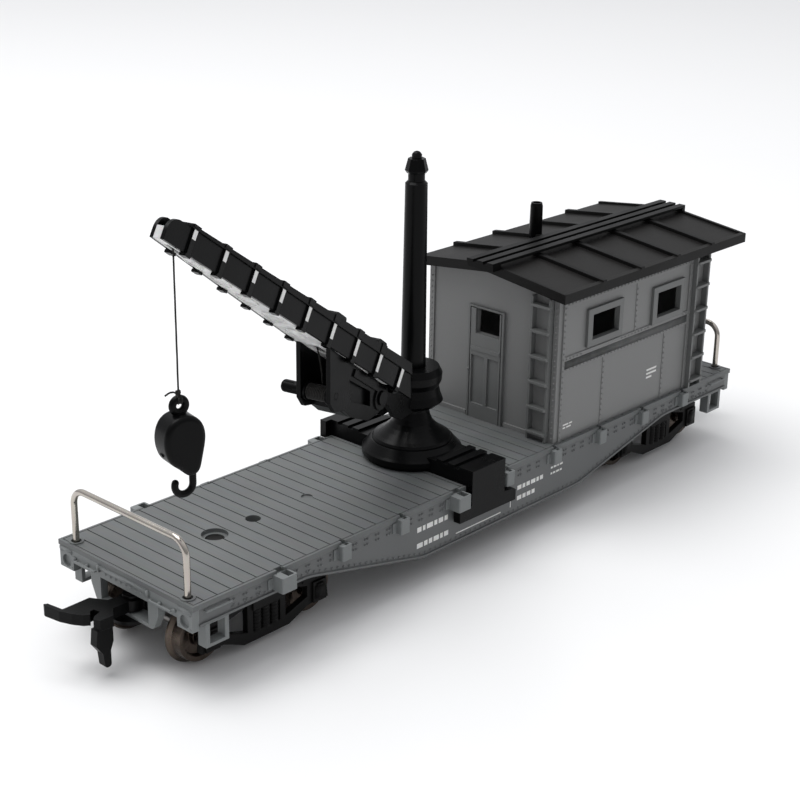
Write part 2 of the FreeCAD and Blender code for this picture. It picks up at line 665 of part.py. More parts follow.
def make_crane_base():
    """Saddle across the deck: ridged arms, side clips down over the sills, round centre disc."""
    x = BASE_X
    gap = 0.02
    arm = box(x - BASE_HALF_X, -BASE_SIDE, DECK_TOP, x + BASE_HALF_X, BASE_SIDE, BASE_TOP)
    parts = [arm]
    for k in range(3):
        for s in (-1, 1):
            y = s * (10.6 + 2.7 * k)
            parts.append(box(x - BASE_HALF_X, y - 0.8, BASE_TOP, x + BASE_HALF_X, y + 0.8, BASE_TOP + 0.5))
    clip = [(x - 4.55, 17.0), (x - 4.55, 12.3), (x - 7.7, 12.3), (x - 7.7, 9.8), (x + 7.9, 9.6),
            (x + 7.9, 11.6), (x + 7.4, 12.0), (x + 4.55, 12.3), (x + 4.55, 17.0)]
    parts += both_sides(prism_xz(clip, DECK_WIDTH / 2 + gap, BASE_SIDE))
    parts += both_sides(box(x - BASE_HALF_X, 16.7, BASE_TOP, x + BASE_HALF_X, BASE_SIDE, BASE_TOP + 0.5))
    parts.append(box(x - BASE_HALF_X - 1.5, DECK_WIDTH / 2 + gap, 15.5, x, BASE_SIDE, BASE_TOP + 0.5))
    rim = DISC_RADIUS
    disc = [(0, DECK_TOP), (rim - 0.7, DECK_TOP), (rim - 0.6, 16.5), (rim, 16.5), (rim, 17.5),
            (rim - 0.4, 17.9), (rim - 1.6, DISC_TOP), (0, DISC_TOP)]
    parts.append(lathe(disc, MAST_X, 0))
    bore = rod(1.9 + RUN_CLEARANCE, V(MAST_X, 0, 10), Z_AXIS, 20)
    keep("crane_base", fuse(parts).cut(bore))


def make_turntable():
    """Bell foot of the pillar with its pivot, which runs in the base."""
    foot = DISC_TOP + 0.08
    outline = [(0, 14.3), (1.9, 14.3), (1.9, foot), (7.4, foot), (7.1, 19.9), (6.4, 20.3), (5.3, 21.1),
               (4.5, 21.8), (3.8, 22.6), (3.4, 23.5), (3.0, 24.8), (3.0, BELL_TOP), (0, BELL_TOP)]
    keep("turntable", lathe(outline, MAST_X, 0))


def make_mast():
    outline = [(0, BELL_TOP), (MAST_RADIUS_LOW, BELL_TOP), (MAST_RADIUS_HIGH, MAST_TOP - 0.4),
               (MAST_RADIUS_HIGH - 0.4, MAST_TOP), (0, MAST_TOP)]
    keep("mast", lathe(outline, MAST_X, 0))


def make_mast_cap():
    """Turned neck, eight-sided cap and top knob."""
    neck = rod(1.5, V(MAST_X, 0, MAST_TOP), Z_AXIS, 1.4)
    low, high = MAST_TOP + 1.4, MAST_TOP + 4.0
    corners = 8
    across = 2 * math.pi / corners
    ring = [[V(MAST_X + r * math.cos(k * across), r * math.sin(k * across), z) for k in range(corners + 1)]
            for r, z in ((1.75, low), (2.1, low + 0.5), (1.55, high))]
    wires = [Part.makePolygon(points) for points in ring]
    cap = Part.makeLoft(wires, True, True)
    knob = rod(0.9, V(MAST_X, 0, high), Z_AXIS, 0.7)
    knob = fuse([knob, Part.makeSphere(0.9, V(MAST_X, 0, high + 0.4)).cut(box(-20, -5, 0, 10, 5, high))])
    keep("mast_cap", fuse([neck, cap, knob]))


def pin_point():
    turn = math.radians(SLEW_REST)
    return V(MAST_X - PIN_REACH * math.cos(turn), -PIN_REACH * math.sin(turn), PIN_HEIGHT)


def level_frame():
    return FreeCAD.Placement(pin_point(), FreeCAD.Rotation(Z_AXIS, 180 + SLEW_REST))


def placed(shape, placement):
    copy = shape.copy()
    copy.Placement = placement.multiply(copy.Placement)
    return copy


def place_level(shape):
    """From the level frame, X forward from the luffing pin and Z up, to the car's frame."""
    return placed(shape, level_frame())


def place_boom(shape):
    """From the boom's frame, X along the boom, to the car's frame."""
    tilt = FreeCAD.Placement(ORIGIN, FreeCAD.Rotation(Y_AXIS, -LUFF_REST))
    return placed(shape, level_frame().multiply(tilt))


def make_bracket():
    """Waisted collar clamped on the pillar with two cheeks that carry the luffing pin."""
    mast = V(-PIN_REACH, 0, 0)
    low = BELL_TOP - PIN_HEIGHT
    top = COLLAR_TOP - PIN_HEIGHT
    wide = COLLAR_RADIUS
    profile = [(0, low), (wide - 1.0, low), (wide + 0.2, low + 1.0), (wide - 0.3, low + 2.4), (wide - 0.6, low + 3.8),
               (wide - 0.1, low + 4.9), (wide, low + 6.3), (wide - 0.6, top), (0, top)]
    collar = lathe(profile, -PIN_REACH, 0)
    outline = [(-PIN_REACH + 3.0, low), (-9.2, low), (-6.6, -6.1), (-4.6, -3.2), (-1.7, -1.2), (0, 0),
               (-0.5, 1.9), (-3.2, -0.2), (-7.4, -1.9), (-12.8, -0.5), (-PIN_REACH + 3.0, -0.5)]
    ear = prism_xz(outline, 1.5, 2.3)
    boss = rod(2.0, V(0, 1.5, 0), Y_AXIS, 0.8)
    tools = [rod(PIN_RADIUS + RUN_CLEARANCE, V(0, -5, 0), Y_AXIS, 10),
             rod(MAST_RADIUS_LOW, mast + V(0, 0, low - 1), Z_AXIS, 12)]
    cheeks = both_sides(ear) + both_sides(boss)
    keep("mast_bracket", place_level(cut(fuse([collar] + cheeks), tools)))


# ---------------------------------------------------------------- boom

def boom_half(u):
    return BOOM_HALF_AT_PIN - BOOM_TAPER * u


def flange_top(u):
    share = (u + 3) / (BOOM_BODY_END + 3)
    return FLANGE_TOP_ROOT + (FLANGE_TOP_TIP - FLANGE_TOP_ROOT) * share


def root_u(v):
    """Where the boom's upright root end cuts the line at height v."""
    tilt = math.radians(LUFF_REST)
    return (ROOT_CUT + v * math.sin(tilt)) / math.cos(tilt)


def rib_places():
    return [RIB_FIRST + RIB_PITCH * k for k in range(RIBS)]


def plan_strip(u0, u1, outer, inner):
    """A strip that follows the boom's tapered side, from outer to inner inside its face."""
    return [(u0, boom_half(u0) - outer), (u1, boom_half(u1) - outer),
            (u1, boom_half(u1) - inner), (u0, boom_half(u0) - inner)]


def make_boom_side():
    """Tapered web with an upright rib at each bay and a round-nosed cheek at the tip."""
    side = prism_xy(plan_strip(-8, BOOM_LENGTH, 0, BOOM_SKIN), BOOM_LOW, BOOM_WEB_TOP)
    outline = [(root_u(BOOM_LOW), BOOM_LOW), (BOOM_LENGTH, BOOM_LOW), (BOOM_LENGTH, BOOM_WEB_TOP),
               (root_u(BOOM_WEB_TOP), BOOM_WEB_TOP)]
    blank = round_edges(prism_xz(outline, -1, 9), 2.3, lambda e: along(Y_AXIS)(e)
                        and e.CenterOfMass.x > BOOM_LENGTH - 0.1 and e.CenterOfMass.z > BOOM_LOW + 1)
    web = side.common(blank)
    ribs = []
    for u in rib_places():
        half = boom_half(u)
        ribs.append(box(u - 0.5, half - 0.2, BOOM_LOW - 0.45, u + 0.5, half + 0.3, BOOM_WEB_TOP))
        ribs.append(box(u - 0.7, half - 0.8, BOOM_LOW - 0.45, u + 0.7, half + 0.3, BOOM_LOW))
    return fuse([web] + ribs)


def make_boom_top():
    """Wedge-shaped upper flange, a little wider than the webs, with a strap over each rib."""
    tip = BOOM_BODY_END
    wedge = prism_xz([(root_u(BOOM_WEB_TOP), BOOM_WEB_TOP), (tip, BOOM_WEB_TOP), (tip, flange_top(tip)),
                      (root_u(flange_top(-3)), flange_top(-3))], -9, 9)
    plan = plan_strip(-8, tip, -FLANGE_LAP, 0)
    whole_plan = [plan[0], plan[1], (plan[1][0], -plan[1][1]), (plan[0][0], -plan[0][1])]
    flange = wedge.common(prism_xy(whole_plan, 0, 12))
    straps = []
    for u in rib_places()[1:]:
        half = boom_half(u) + FLANGE_LAP + 0.1
        top = flange_top(u) + 0.2
        straps.append(box(u - 0.9, -half, BOOM_WEB_TOP + 0.2, u + 0.9, half, top))
    for u0, u1 in ((6.2, 9.4), (20.4, 24.0)):
        half = boom_half(u1) + FLANGE_LAP
        pad = box(u0, -half, BOOM_WEB_TOP + 0.2, u1, half, flange_top(u1) + 0.7)
        straps.append(round_edges(pad, 0.5, lambda e: along(Y_AXIS)(e) and e.CenterOfMass.z > 7))
    return fuse([flange] + straps)


def make_boom_underside():
    """Light plate between the webs, open for the cord at the winch and at the tip."""
    start = 0.9
    strip = plan_strip(start, BOOM_LENGTH, BOOM_SKIN, 0)
    plan = [strip[0], strip[1], (strip[1][0], -strip[1][1]), (strip[0][0], -strip[0][1])]
    plate = prism_xy(plan, BOOM_LOW, BOOM_LOW + 0.5)
    slots = [box(SHEAVE_U - 2.2, -0.4, 0, SHEAVE_U + 1.9, 0.4, 4), box(16.0, -0.6, 0, 20.6, 0.6, 4)]
    return cut(plate, slots)


def make_tip_lip():
    """Low wall across the nose between the cheeks."""
    half = boom_half(BOOM_LENGTH) - BOOM_SKIN
    return box(BOOM_LENGTH - 0.5, -half, BOOM_LOW + 0.5, BOOM_LENGTH, half, BOOM_LOW + 1.9)


def make_boom():
    side = make_boom_side()
    keep("boom_side_right", place_boom(side))
    keep("boom_side_left", place_boom(flip_y(side)))
    keep("boom_top", place_boom(make_boom_top()))
    keep("boom_underside", place_boom(fuse([make_boom_underside(), make_tip_lip()])))
    reach = boom_half(SHEAVE_U + 0.4) - BOOM_SKIN
    pin = rod(0.4, V(SHEAVE_U, -reach, SHEAVE_V), Y_AXIS, 2 * reach)
    keep("tip_pin", place_boom(pin))
    width = 0.55
    rim = lathe([(0.4 + RUN_CLEARANCE, -width), (SHEAVE_RADIUS, -width), (SHEAVE_RADIUS, -width + 0.15),
                 (SHEAVE_GROOVE, -0.2), (SHEAVE_GROOVE, 0.2), (SHEAVE_RADIUS, width - 0.15),
                 (SHEAVE_RADIUS, width), (0.4 + RUN_CLEARANCE, width)])
    sheave = turned(rim, ORIGIN, X_AXIS, 90)
    sheave.translate(V(SHEAVE_U, 0, SHEAVE_V))
    keep("tip_sheave", place_boom(sheave))


# ---------------------------------------------------------------- winch

def under_boom(forward):
    """Height of the boom's lower face in the level frame, at a distance forward of the pin."""
    tilt = math.radians(LUFF_REST)
    return forward * math.tan(tilt) + BOOM_LOW / math.cos(tilt)


def make_winch_housing():
    """Two plates, the right one with a window, and a floor; the drum lies across the front corner."""
    front = 16.4
    root = -2.6
    edge = [(front, under_boom(front)), (front, 4.2), (15.0, 2.3), (12.3, 1.7), (9.7, -0.4), (4.2, -2.9),
            (1.2, -2.7), (-1.4, -2.1), (root, -0.4), (root, under_boom(root))]
    inner = HOUSING_HALF - HOUSING_WALL
    plate = prism_xz(edge, inner, HOUSING_HALF)
    window = prism_xz([(10.3, 6.5), (3.5, 2.3), (3.5, -0.4), (10.0, 2.6)], inner - 1, HOUSING_HALF + 1)
    strip = prism_xz([(9.4, 6.9), (8.7, 8.0), (-0.6, 1.9), (0.1, 0.8)], HOUSING_HALF, HOUSING_HALF + 0.3)
    boss = rod(2.2, V(0, HOUSING_HALF, 0), Y_AXIS, 0.3)
    pierced = fuse([plate.cut(window), strip, boss])
    plain = flip_y(fuse([plate, strip, boss]))
    floor = prism_xz([(12.6, 1.8), (9.7, -0.4), (4.6, -2.7), (4.6, -2.0), (9.4, 0.2), (12.6, 2.6)], -inner, inner)
    bores = [rod(PIN_RADIUS, V(0, -5, 0), Y_AXIS, 10),
             rod(0.55 + RUN_CLEARANCE, V(DRUM_FORWARD, -5, DRUM_UP), Y_AXIS, 10)]
    whole = fuse([pierced, plain, floor])
    keep("winch_housing", place_level(cut(whole, bores)))


def make_winch_drum():
    inner = HOUSING_HALF - HOUSING_WALL - 0.15
    centre = V(DRUM_FORWARD, 0, DRUM_UP)
    parts = [rod(DRUM_RADIUS, centre + V(0, -inner, 0), Y_AXIS, 2 * inner)]
    for y in (-inner, inner - 0.4):
        parts.append(rod(1.6, centre + V(0, y, 0), Y_AXIS, 0.4))
    parts.append(rod(0.55, centre + V(0, -HOUSING_HALF - 0.9, 0), Y_AXIS, 2 * HOUSING_HALF + 0.9))
    keep("winch_drum", place_level(fuse(parts)))


def make_winch_knob():
    """Turned knob on the left end of the drum's shaft, with finger flutes."""
    start = V(DRUM_FORWARD, -HOUSING_HALF - 0.15, DRUM_UP)
    body = rod(1.1, start + V(0, -3.7, 0), Y_AXIS, 3.7)
    body = round_edges(body, 0.6, lambda e: e.CenterOfMass.y < start.y - 3.5)
    flutes = []
    for k in range(6):
        turn = math.radians(60 * k)
        place = start + V(1.22 * math.cos(turn), -4.5, 1.22 * math.sin(turn))
        flutes.append(rod(0.25, place, Y_AXIS, 3.4))
    shaft = rod(0.55, start + V(0, -0.75, 0), Y_AXIS, 2)
    keep("winch_knob", place_level(cut(body, flutes + [shaft])))


def make_boom_pin():
    half = HOUSING_HALF + 0.3
    parts = [rod(PIN_RADIUS, V(0, -half, 0), Y_AXIS, 2 * half)]
    for y in (-half - 0.35, half):
        parts.append(rod(1.3, V(0, y, 0), Y_AXIS, 0.35))
    keep("boom_pin", place_level(fuse(parts)))


# ---------------------------------------------------------------- cord and hook

def boom_point(u, v):
    """A point on the boom's middle plane, in the level frame."""
    tilt = math.radians(LUFF_REST)
    return V(u * math.cos(tilt) - v * math.sin(tilt), 0, u * math.sin(tilt) + v * math.cos(tilt))


def fall_radius():
    return SHEAVE_GROOVE + CORD_RADIUS + CORD_GAP


def fall_top():
    """Where the falling cord leaves the tip sheave, in the level frame."""
    return boom_point(SHEAVE_U, SHEAVE_V) + V(fall_radius(), 0, 0)


def make_boom_cord():
    """Cord from the winch drum, through the plate, inside the boom and over the tip sheave."""
    sheave = boom_point(SHEAVE_U, SHEAVE_V)
    drum = V(DRUM_FORWARD, 0, DRUM_UP)
    wrap = DRUM_RADIUS + CORD_RADIUS + CORD_GAP
    slot = boom_point(19.4, 3.4)
    away = (slot - drum).Length
    lean = math.atan2(slot.z - drum.z, slot.x - drum.x) - math.asin(wrap / away)
    leave = drum + V(math.cos(lean + math.pi / 2), 0, math.sin(lean + math.pi / 2)) * wrap
    reach = (sheave - slot).Length
    rise = math.atan2(sheave.z - slot.z, sheave.x - slot.x) + math.asin(fall_radius() / reach)
    back = V(math.cos(rise + math.pi / 2), 0, math.sin(rise + math.pi / 2))
    crown = sheave + back * fall_radius()
    over = V(math.cos((rise + math.pi / 2) / 2), 0, math.sin((rise + math.pi / 2) / 2))
    into = (slot - leave).normalize()
    out = (crown - slot).normalize()
    bend = 1.2
    turn = into.getAngle(out)
    setback = bend * math.tan(turn / 2)
    inward = (out - into).normalize()
    middle = slot + inward * (bend / math.cos(turn / 2) - bend)
    edges = [Part.LineSegment(leave, slot - into * setback).toShape(),
             Part.Arc(slot - into * setback, middle, slot + out * setback).toShape(),
             Part.LineSegment(slot + out * setback, crown).toShape(),
             Part.Arc(crown, sheave + over * fall_radius(), fall_top()).toShape()]
    path = Part.Wire(edges)
    ring = Part.Wire(Part.Circle(leave, into, CORD_RADIUS).toShape())
    tube = path.makePipeShell([ring], True, True)
    print("boom cord length", round(path.Length, 2), "volume ratio",
          round(tube.Volume / (path.Length * math.pi * CORD_RADIUS ** 2), 4))
    keep("boom_cord", place_level(tube))


def plumb_point():
    return level_frame().multVec(fall_top())


def place_hook(shape):
    """From the hook's frame, Z up on the plumb line and Y through the eye, to the car's frame."""
    top = plumb_point()
    return placed(shape, FreeCAD.Placement(V(top.x, top.y, 0), FreeCAD.Rotation(Z_AXIS, HOOK_TURN)))


def loop_radius():
    return EYE_WIRE + CORD_RADIUS + CORD_GAP


def make_hanging_cord():
    """The straight fall, down to the knot over the hook's eye."""
    top = plumb_point().z
    knot = EYE_HEIGHT + EYE_RING + loop_radius()
    fall = rod(CORD_RADIUS, V(0, 0, knot), Z_AXIS, top - knot)
    print("fall length", round(top - knot, 2))
    keep("hanging_cord", place_hook(fall))


def make_cord_knot():
    """Two turns of the cord through the eye, pulled down to a small knot with a short tail."""
    crown = EYE_HEIGHT + EYE_RING
    turns = []
    for x in (-0.2, 0.2):
        turns.append(Part.makeTorus(loop_radius(), CORD_RADIUS, V(x, 0, crown), X_AXIS))
    knot = Part.makeSphere(0.36, V(0, 0, crown + loop_radius() + 0.1))
    tail = rod(CORD_RADIUS, V(0, 0, crown + loop_radius() + 0.1), V(-1, 0, -0.12), 1.8)
    whole = fuse(turns + [knot, tail])
    keep("cord_knot", cut(place_hook(whole), [nodes["hanging_cord"], nodes["hook_block"]]))


def make_hook_block():
    """Thick pear-shaped block under a ring eye, with two small lugs on its rim."""
    half = BLOCK_HALF_THICK
    outline = [(-1.0, 47.4), (-2.6, 46.3), (-3.3, 44.4), (-3.1, 42.0), (-2.3, 40.4), (-0.9, 39.2), (0.8, 38.0),
               (1.9, 38.4), (2.6, 40.0), (3.1, 42.2), (3.3, 44.4), (2.6, 46.3), (1.1, 47.4)]
    curve = Part.BSplineCurve()
    curve.interpolate([V(x, -half, z) for x, z in outline], PeriodicFlag=True)
    body = Part.Face(Part.Wire(curve.toShape())).extrude(V(0, 2 * half, 0))
    body = round_edges(body, BLOCK_ROUND, lambda e: abs(abs(e.CenterOfMass.y) - half) < 0.05)
    ring = Part.makeTorus(EYE_RING, EYE_WIRE, V(0, 0, EYE_HEIGHT), Y_AXIS)
    neck = rod(0.75, V(0, 0, 46.5), Z_AXIS, 1.0)
    lugs = [rod(0.3, V(x, -0.3, z), Y_AXIS, 0.6) for x, z in ((3.3, 44.0), (3.0, 41.4), (-2.9, 41.6))]
    keep("hook_block", place_hook(fuse([body, neck, ring] + lugs)))


def make_hook():
    """Round-wire hook that opens to the left of the block."""
    centre = V(0.35, 0, HOOK_CENTRE_HEIGHT)
    start = centre + V(HOOK_BEND, 0, 2.6)
    side = centre + V(HOOK_BEND, 0, 0)
    low = centre + V(0, 0, -HOOK_BEND)
    tip = centre + V(-HOOK_BEND * math.cos(0.35), 0, HOOK_BEND * math.sin(0.35))
    path = Part.Wire([Part.LineSegment(start, side).toShape(), Part.Arc(side, low, tip).toShape()])
    ring = Part.Wire(Part.Circle(start, Z_AXIS, HOOK_WIRE).toShape())
    tube = path.makePipeShell([ring], True, True)
    nose = Part.makeSphere(HOOK_WIRE, tip)
    hook = place_hook(fuse([tube, nose]))
    keep("hook", hook.cut(nodes["hook_block"]))


# ---------------------------------------------------------------- build

def build():
    make_deck()
    make_side_sills()
    end_sill = make_end_sill()
    keep("end_sill_front", end_sill)
    keep("end_sill_rear", flip_x(end_sill))
    make_centre_sill()
    make_ballast()
    make_stake_pockets()
    make_steps()
    make_grab_irons()
    keep("end_rail_front", make_end_rail(-RAIL_X))
    keep("end_rail_rear", make_end_rail(RAIL_X))
    make_running_gear()
    make_end_walls()
    make_side_walls()
    make_window_frames()
    make_doors()
    make_ladders()
    make_roof()
    make_roof_walk()
    make_smoke_jack()
    make_crane_base()
    make_turntable()
    make_mast()
    make_mast_cap()
    make_bracket()
    make_boom()
    make_winch_housing()
    make_winch_drum()
    make_winch_knob()
    make_boom_pin()
    make_boom_cord()
    make_hook_block()
    make_hanging_cord()
    make_cord_knot()
    make_hook()


build()
os.makedirs("parts", exist_ok=True)
for name, shape in nodes.items():
    shape.exportStep("parts/" + name + ".step")
print(len(nodes), "nodes")
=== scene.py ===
import json
import math

import bmesh
import bpy
from mathutils import Matrix, Vector


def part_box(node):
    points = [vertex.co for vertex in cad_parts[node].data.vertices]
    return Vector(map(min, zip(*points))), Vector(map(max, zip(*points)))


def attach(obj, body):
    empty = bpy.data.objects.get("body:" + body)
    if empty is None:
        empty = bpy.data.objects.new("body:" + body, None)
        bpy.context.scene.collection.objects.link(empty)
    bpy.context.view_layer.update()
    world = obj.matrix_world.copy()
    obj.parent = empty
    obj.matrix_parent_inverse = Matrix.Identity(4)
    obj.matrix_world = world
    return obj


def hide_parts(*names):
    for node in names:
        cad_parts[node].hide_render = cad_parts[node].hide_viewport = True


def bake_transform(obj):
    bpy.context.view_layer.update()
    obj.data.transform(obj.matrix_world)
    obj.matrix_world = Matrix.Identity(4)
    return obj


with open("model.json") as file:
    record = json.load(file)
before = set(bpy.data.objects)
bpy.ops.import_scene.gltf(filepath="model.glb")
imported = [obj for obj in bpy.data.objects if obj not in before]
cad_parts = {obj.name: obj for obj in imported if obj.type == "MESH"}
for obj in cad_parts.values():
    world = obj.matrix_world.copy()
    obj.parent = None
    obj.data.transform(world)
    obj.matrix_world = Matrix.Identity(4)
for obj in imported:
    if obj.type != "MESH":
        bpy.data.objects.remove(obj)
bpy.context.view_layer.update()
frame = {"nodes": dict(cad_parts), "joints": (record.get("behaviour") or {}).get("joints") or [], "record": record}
NODES = frame["nodes"]
MM = 0.001
AXES = (Vector((1, 0, 0)), Vector((0, 1, 0)), Vector((0, 0, 1)))
SIDES = (-1, 1)

# Sizes that the CAD model gives, in millimetres.
HALF_LENGTH = 75.0
PLANKS = 55
PLANK = 2 * HALF_LENGTH / PLANKS
SILL_FACE = 16.7
CABIN_FACE = 16.0
ROOF_FRONT, ROOF_REAR = 12.8, 73.6
ROOF_HALF, EAVE, RIDGE = 18.6, 45.8, 48.1
POCKET_PITCH = 14.2
TRUCK_X = 55.8
LUFF_DEG = 34.4
DRUM_WRAP = 1.22


def deck_middle():
    low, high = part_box("deck")
    low, high = low / MM, high / MM
    return Vector(((low.x + high.x) / 2, (low.y + high.y) / 2, 0))


SHIFT = deck_middle()


def P(x, y, z):
    """A point in millimetres from the deck's middle and the table, in the row frame in metres."""
    return (Vector((x, y, z)) + SHIFT) * MM


# ---------------------------------------------------------------- camera

CAMERA_PLACE = (-217.15, -190.01, 135.9)
CAMERA_HEADING, CAMERA_TILT, CAMERA_ROLL = 42.64, -21.16, 0.87
CAMERA_LENS, CAMERA_SENSOR = 74.16, 36.0


def make_camera():
    """The camera that was fitted to the photograph: its place in millimetres and its angles in degrees."""
    data = bpy.data.cameras.new("camera")
    data.lens = CAMERA_LENS
    data.sensor_width = CAMERA_SENSOR
    data.clip_start = 0.01
    data.clip_end = 20
    cam = bpy.data.objects.new("camera", data)
    bpy.context.scene.collection.objects.link(cam)
    az, el, roll = (math.radians(a) for a in (CAMERA_HEADING, CAMERA_TILT, CAMERA_ROLL))
    ahead = Vector((math.cos(az) * math.cos(el), math.sin(az) * math.cos(el), math.sin(el)))
    turn = ahead.to_track_quat("-Z", "Y").to_matrix().to_4x4()
    cam.matrix_world = Matrix.Translation(P(*CAMERA_PLACE)) @ turn @ Matrix.Rotation(roll, 4, "Z")
    bpy.context.scene.camera = cam


make_camera()


# ---------------------------------------------------------------- mesh helpers

def piece(name, bm, body, mat, smooth=True):
    mesh = bpy.data.meshes.new(name)
    bm.normal_update()
    bm.to_mesh(mesh)
    bm.free()
    for face in mesh.polygons:
        face.use_smooth = smooth
    ob = bpy.data.objects.new(name, mesh)
    bpy.context.scene.collection.objects.link(ob)
    mesh.materials.append(mat)
    if body:
        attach(ob, body)
    return ob


def add_dome(bm, place, normal, radius, height, sides=8, rings=2):
    """A low rivet head, in millimetres, whose skirt sinks a little into the face under it."""
    sunk = -0.03
    n = Vector(normal).normalized()
    a = n.orthogonal().normalized()
    b = n.cross(a)
    last = None
    for r in range(rings):
        t = r / rings * math.pi / 2
        rad, up = radius * math.cos(t), height * math.sin(t) if r else sunk
        row = []
        for k in range(sides):
            w = 2 * math.pi * k / sides
            row.append(bm.verts.new(place + (n * up + (a * math.cos(w) + b * math.sin(w)) * rad) * MM))
        if last:
            for k in range(sides):
                bm.faces.new((last[k], last[(k + 1) % sides], row[(k + 1) % sides], row[k]))
        last = row
    tip = bm.verts.new(place + n * height * MM)
    for k in range(sides):
        bm.faces.new((last[k], last[(k + 1) % sides], tip))


def add_block(bm, centre, ax, ay, az, soft=0.0):
    """A small block from its centre and three half-axis vectors, in metres."""
    v = [bm.verts.new(centre + ax * i + ay * j + az * k) for i in (-1, 1) for j in (-1, 1) for k in (-1, 1)]
    quads = ((0, 1, 3, 2), (4, 6, 7, 5), (0, 4, 5, 1), (2, 3, 7, 6), (0, 2, 6, 4), (1, 5, 7, 3))
    faces = [bm.faces.new([v[i] for i in q]) for q in quads]
    bmesh.ops.recalc_face_normals(bm, faces=faces)
    if soft:
        edges = {e for f in faces for e in f.edges}
        bmesh.ops.bevel(bm, geom=list(edges), offset=soft, segments=2, affect="EDGES")


def add_box(bm, place, half, soft=0.0):
    """A block square to the car, from its middle, half-sizes and edge rounding in millimetres."""
    add_block(bm, P(*place), *(axis * h * MM for axis, h in zip(AXES, half)), soft * MM)


def path_frames(pts):
    """For each point of a path, two directions square to it that are carried along it without twist."""
    last = len(pts) - 1
    dirs = [(pts[min(i + 1, last)] - pts[max(i - 1, 0)]).normalized() for i in range(last + 1)]
    up = dirs[0].orthogonal().normalized()
    frames = []
    for ahead in dirs:
        up = (up - ahead * up.dot(ahead)).normalized()
        frames.append((up, ahead.cross(up)))
    return frames


def add_tube(bm, path, radius, sides=6):
    """A closed tube along a path, in metres."""
    pts = [Vector(p) for p in path]
    rows = []
    for p, (up, side) in zip(pts, path_frames(pts)):
        angles = [2 * math.pi * k / sides for k in range(sides)]
        rows.append([bm.verts.new(p + (up * math.cos(w) + side * math.sin(w)) * radius) for w in angles])
    for a, b in zip(rows, rows[1:]):
        for k in range(sides):
            bm.faces.new((a[k], a[(k + 1) % sides], b[(k + 1) % sides], b[k]))
    bm.faces.new(rows[0][::-1])
    bm.faces.new(rows[-1])


def strands(path, offset, turn_length, count):
    """Paths that wind round a path: a twisted thread's strands."""
    pts = [Vector(p) for p in path]
    lines = [[] for _ in range(count)]
    run = 0.0
    for i, (p, (up, side)) in enumerate(zip(pts, path_frames(pts))):
        if i:
            run += (p - pts[i - 1]).length
        for s, line in enumerate(lines):
            w = 2 * math.pi * (run / turn_length + s / count)
            line.append(p + (up * math.cos(w) + side * math.sin(w)) * offset)
    return lines


def read_route(points):
    """The smooth line that a NURBS spline makes of the route's points."""
    curve = bpy.data.curves.new("route", "CURVE")
    curve.dimensions = "3D"
    curve.resolution_u = 200
    spline = curve.splines.new("NURBS")
    spline.points.add(len(points) - 1)
    for p, q in zip(spline.points, points):
        p.co = (q[0], q[1], q[2], 1)
    spline.order_u = 3
    spline.use_endpoint_u = True
    ob = bpy.data.objects.new("route", curve)
    bpy.context.scene.collection.objects.link(ob)
    mesh = bpy.data.meshes.new_from_object(ob)
    line = [v.co.copy() for v in mesh.vertices]
    bpy.data.objects.remove(ob)
    bpy.data.curves.remove(curve)
    bpy.data.meshes.remove(mesh)
    return line


def thinned(line, step):
    """The same line without the points that lie closer than step to the one before."""
    out = [line[0]]
    for p in line[1:-1]:
        if (p - out[-1]).length >= step and (p - line[-1]).length >= step:
            out.append(p)
    return out + [line[-1]]


# ---------------------------------------------------------------- materials

def mixed(nt, amount, under, over):
    """The colour under, covered by the plain colour over as far as the socket amount says."""
    mix = nt.nodes.new("ShaderNodeMix")
    mix.data_type = "RGBA"
    nt.links.new(amount, mix.inputs["Factor"])
    nt.links.new(under, mix.inputs["A"])
    mix.inputs["B"].default_value = (*over, 1)
    return mix.outputs["Result"]


def paled_on_top(nt, under, slow, shade, amount):
    """A paler shade on the faces that look up, more of it where the slow noise is high."""
    geo = nt.nodes.new("ShaderNodeNewGeometry")
    split = nt.nodes.new("ShaderNodeSeparateXYZ")
    nt.links.new(geo.outputs["Normal"], split.inputs["Vector"])
    up = nt.nodes.new("ShaderNodeMapRange")
    up.inputs["From Min"].default_value = 0.3
    up.inputs["From Max"].default_value = 1.0
    up.inputs["To Max"].default_value = amount
    nt.links.new(split.outputs["Z"], up.inputs["Value"])
    patchy = nt.nodes.new("ShaderNodeMath")
    patchy.operation = "MULTIPLY"
    nt.links.new(up.outputs["Result"], patchy.inputs[0])
    nt.links.new(slow.outputs["Fac"], patchy.inputs[1])
    return mixed(nt, patchy.outputs["Value"], under, shade)


def painted_edge_highlight(nt, under, soft, paler, amount):
    """Paler edges, a painted highlight, found where the rounded normal leaves the face's own."""
    shape = nt.nodes.new("ShaderNodeNewGeometry")
    bend = nt.nodes.new("ShaderNodeVectorMath")
    bend.operation = "DOT_PRODUCT"
    nt.links.new(soft.outputs["Normal"], bend.inputs[0])
    nt.links.new(shape.outputs["Normal"], bend.inputs[1])
    highlight_mask = nt.nodes.new("ShaderNodeMapRange")
    highlight_mask.inputs["From Min"].default_value = 0.995
    highlight_mask.inputs["From Max"].default_value = 0.90
    highlight_mask.inputs["To Max"].default_value = amount
    nt.links.new(bend.outputs["Value"], highlight_mask.inputs["Value"])
    return mixed(nt, highlight_mask.outputs["Result"], under, paler)


